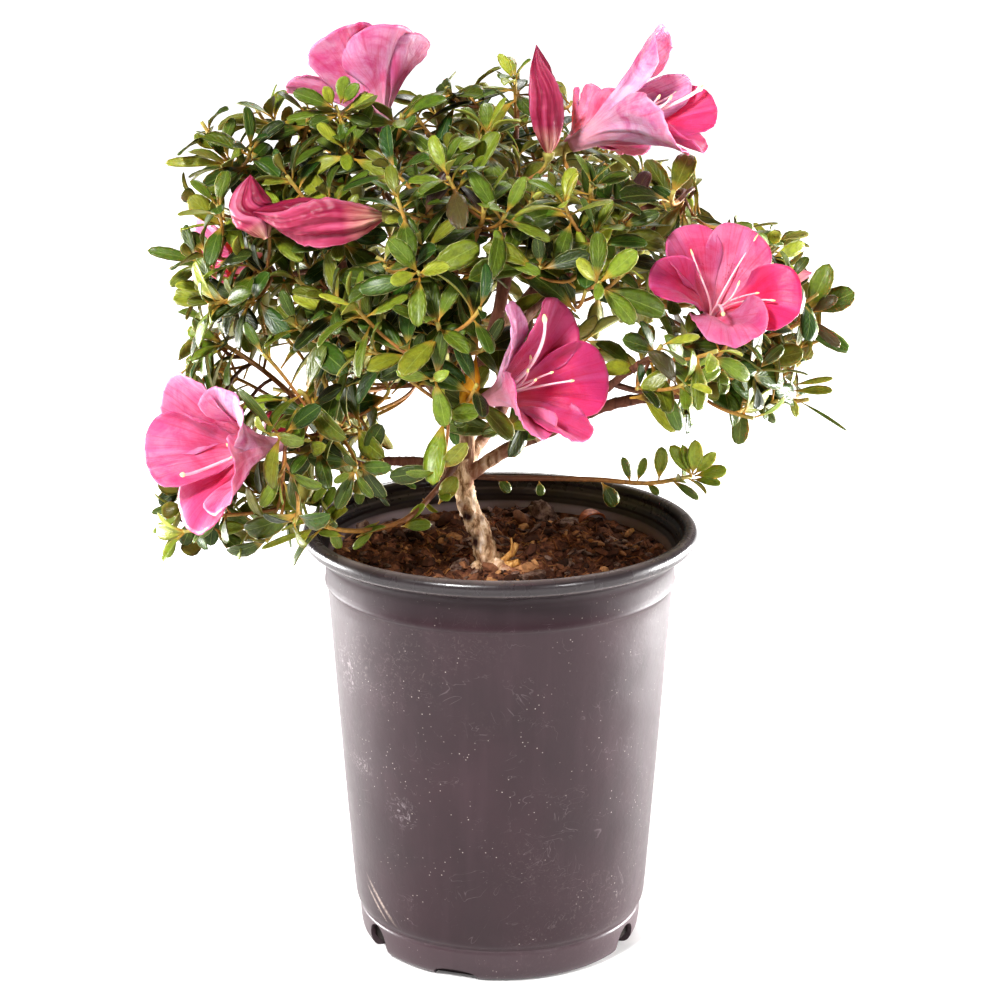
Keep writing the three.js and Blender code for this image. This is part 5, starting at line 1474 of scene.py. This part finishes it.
def grow(name, order):
    """One bough: its main shoot, side shoots and twiglets as lines, and the rosettes that end them."""
    limb, at, tips = boughs[name]
    lies = name.startswith("runner")
    dice = np.random.default_rng(500 + order)
    line = limbs[limb]
    place = int(round(at * (limb_rows - 1)))
    centre = line[place]
    axis = unit(line[min(place + 1, limb_rows - 1)] - line[max(place - 1, 0)])
    target = np.array(tips[0], float)
    along = axis if at == 1 else branching(axis, target - centre)
    ways, radii, youths, rosettes, ends = [], [], [], [], {}
    outward = outward_at(target, lies)
    main = smooth_way(runner_ways[name], shoot_rows) if lies else shoot(centre, along, target, outward)
    if lies:
        outward = unit(main[-1] - main[-3] + [0, 0, 1.5])
    shoots = [(main, outward, 1.35, 0.95)]
    for tip, fork in zip(tips[1:], (0.42, 0.62, 0.74, 0.5, 0.85, 0.35)):
        tip = np.array(tip, float)
        start = main[at_level(fork)]
        heading = branching(unit(main[-1] - main[0]), tip - start)
        facing = outward_at(tip, lies)
        shoots.append((shoot(start, heading, tip, facing), facing, 0.8, 0.7))
    for way, facing, thick, thin in shoots:
        ways.append(way)
        radii.append(np.linspace(thick, thin, shoot_rows))
        youths.append(np.linspace(0.1, 1.0, shoot_rows) ** 1.3)
        if lies:
            young = 0.9
            few = name == "runner_right"
            rosettes.append((way[-1] + 1.5 * facing, facing, 14 if few else 19, 4 if few else 9, young))
            if few:
                continue
            above, below = unit(np.array([0.1, -0.5, 0.8])), unit(np.array([0.1, -0.8, -0.5]))
            for spot, facing in zip(range(3, shoot_rows - 1, 2), 4 * [above, below]):
                rosettes.append((way[spot] + facing, facing, dice.uniform(11, 17), 1, young))
            continue
        rosettes.append((way[-1] + 1.5 * facing, facing, dice.uniform(24, 30), dice.integers(7, 10),
                         dice.uniform(0, 1) ** 1.6))
        for level in (0.62, 0.8):
            spot = at_level(level)
            rosettes.append((way[spot], unit(way[spot + 1] - way[spot]), dice.uniform(20, 26), 2, 0.1))
        for level in dice.uniform(0.25, 0.95, 18):
            start = way[at_level(level)]
            reach = dice.uniform(12, 30)
            aside = unit(dice.normal(size=3) + 0.7 * outward_at(start, False))
            heading = branching(unit(way[-1] - way[0]), aside)
            end = start + reach * unit(heading + 0.4 * facing + [0, 0, 0.15])
            crowded = lengths(end - np.array(taken)).min() < room_between
            if crowded or not within(seen_in_front(end), crown_edge):
                continue
            taken.append(end)
            tip_way = unit(outward_at(end, lies) + 0.7 * heading)
            ways.append(bent_way(start, start + 0.4 * reach * heading, end - 0.3 * reach * tip_way, end))
            radii.append(np.linspace(0.6, 0.85, shoot_rows))
            youths.append(np.linspace(0.4, 1.0, shoot_rows))
            ends[len(ways) - 1] = len(rosettes)
            rosettes.append((end + tip_way, tip_way, dice.uniform(20, 28), dice.integers(6, 9),
                             dice.uniform(0, 1) ** 2))
    for burden in bears.get(name, []):
        if burden in blooms:
            base, way = (np.array(blooms[burden][part], float) for part in ("base", "axis"))
            way, calyx = unit(way), 2.7
        else:
            points, girth = np.array(rolled[burden][0], float), rolled[burden][1]
            base, way = points[0], unit(points[1] - points[0])
            calyx = min(2.6, girth * 0.5)
        start = main[at_level(0.62)]
        end = base + way * 1.2
        reach = np.linalg.norm(end - start)
        heading = branching(unit(main[-1] - main[0]), end - start)
        ways.append(bent_way(start, start + heading * reach * 0.3, end - way * reach * 0.4, end))
        t, stalk = np.linspace(0, 1, shoot_rows), 0.75
        radii.append(stalk + (calyx - stalk) * ease(t, 0.84, 0.97))
        youths.append(0.3 + 0.7 * ease(t, 0.4, 0.9))
    return np.stack(ways), np.stack(radii), np.stack(youths), rosettes, ends, dice


# Every bough in turn. Leaves that would leave the crown, touch a bloom or hide one are taken off again, and
# so is each twiglet that lost half of its leaves.
taken, room_between = [tip for _, _, tips in boughs.values() for tip in tips], 16
for order, name in enumerate(boughs):
    ways, radii, youths, rosettes, ends, dice = grow(name, order)
    leaves = leaves_of(rosettes, dice)
    meant = np.bincount(leaves[:, 12].astype(int), minlength=len(rosettes))
    leaves = kept_in_box(leaves)
    blade_lines = np.stack([on_leaf(leaves, share) for share in (0.3, 0.65, 1)], 1)
    leaves = leaves[clear_of_blooms(leaves) & shows_the_blooms(blade_lines)]
    if name not in runner_ways:
        leaves = leaves[in_the_crown(leaves)]
    left = np.bincount(leaves[:, 12].astype(int), minlength=len(rosettes))
    shown = shows_the_blooms(ways[:, 5:])
    bare = [way for way, end in ends.items() if left[end] < 0.5 * meant[end] or not shown[way]]
    leaves = leaves[~np.isin(leaves[:, 12], [ends[way] for way in bare])]
    if name in edge_leaves:
        leaves = np.concatenate([leaves, kept_in_box(leaves_at_edge(name))])
    ways, radii, youths = (np.delete(part, bare, 0) for part in (ways, radii, youths))
    rods = tubes(ways, radii, shoot_sides)
    faces = rod_faces(len(ways), shoot_rows, shoot_sides)
    marks = {"youth": np.repeat(youths[..., None], shoot_sides, -1)}
    twigs = make_mesh(f"twigs_{name}", rods, faces, twig_skin, marks=marks)
    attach(twigs, "root")
    blades, uv, unders = leaf_blades(leaves, dice)
    each = blades.shape[1]
    blush = (dice.uniform(0, 1, len(leaves)) > 0.99) * 0.8
    if name in tinted:
        place, tint = tinted[name]
        blush[lengths(leaves[:, 0:3] - np.array(place))[:, 0].argmin()] = tint
    per_leaf = {"youth": leaves[:, 11], "tone": dice.uniform(0, 1, len(leaves)), "blush": blush}
    marks = {"under": unders, **{mark: np.repeat(values, each) for mark, values in per_leaf.items()}}
    faces = repeat_faces(leaf_faces(), len(leaves), each)
    foliage = make_mesh(f"leaves_{name}", blades, faces, leaf_skin, uv=uv, marks=marks)
    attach(foliage, "root")
    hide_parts(f"bough_{name}")
    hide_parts(f"bough_{name}")

sizes = {"cad": [[float(c) for c in corner] for corner in cad_box],
         "visual": [[float(c) for c in corner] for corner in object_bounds()]}
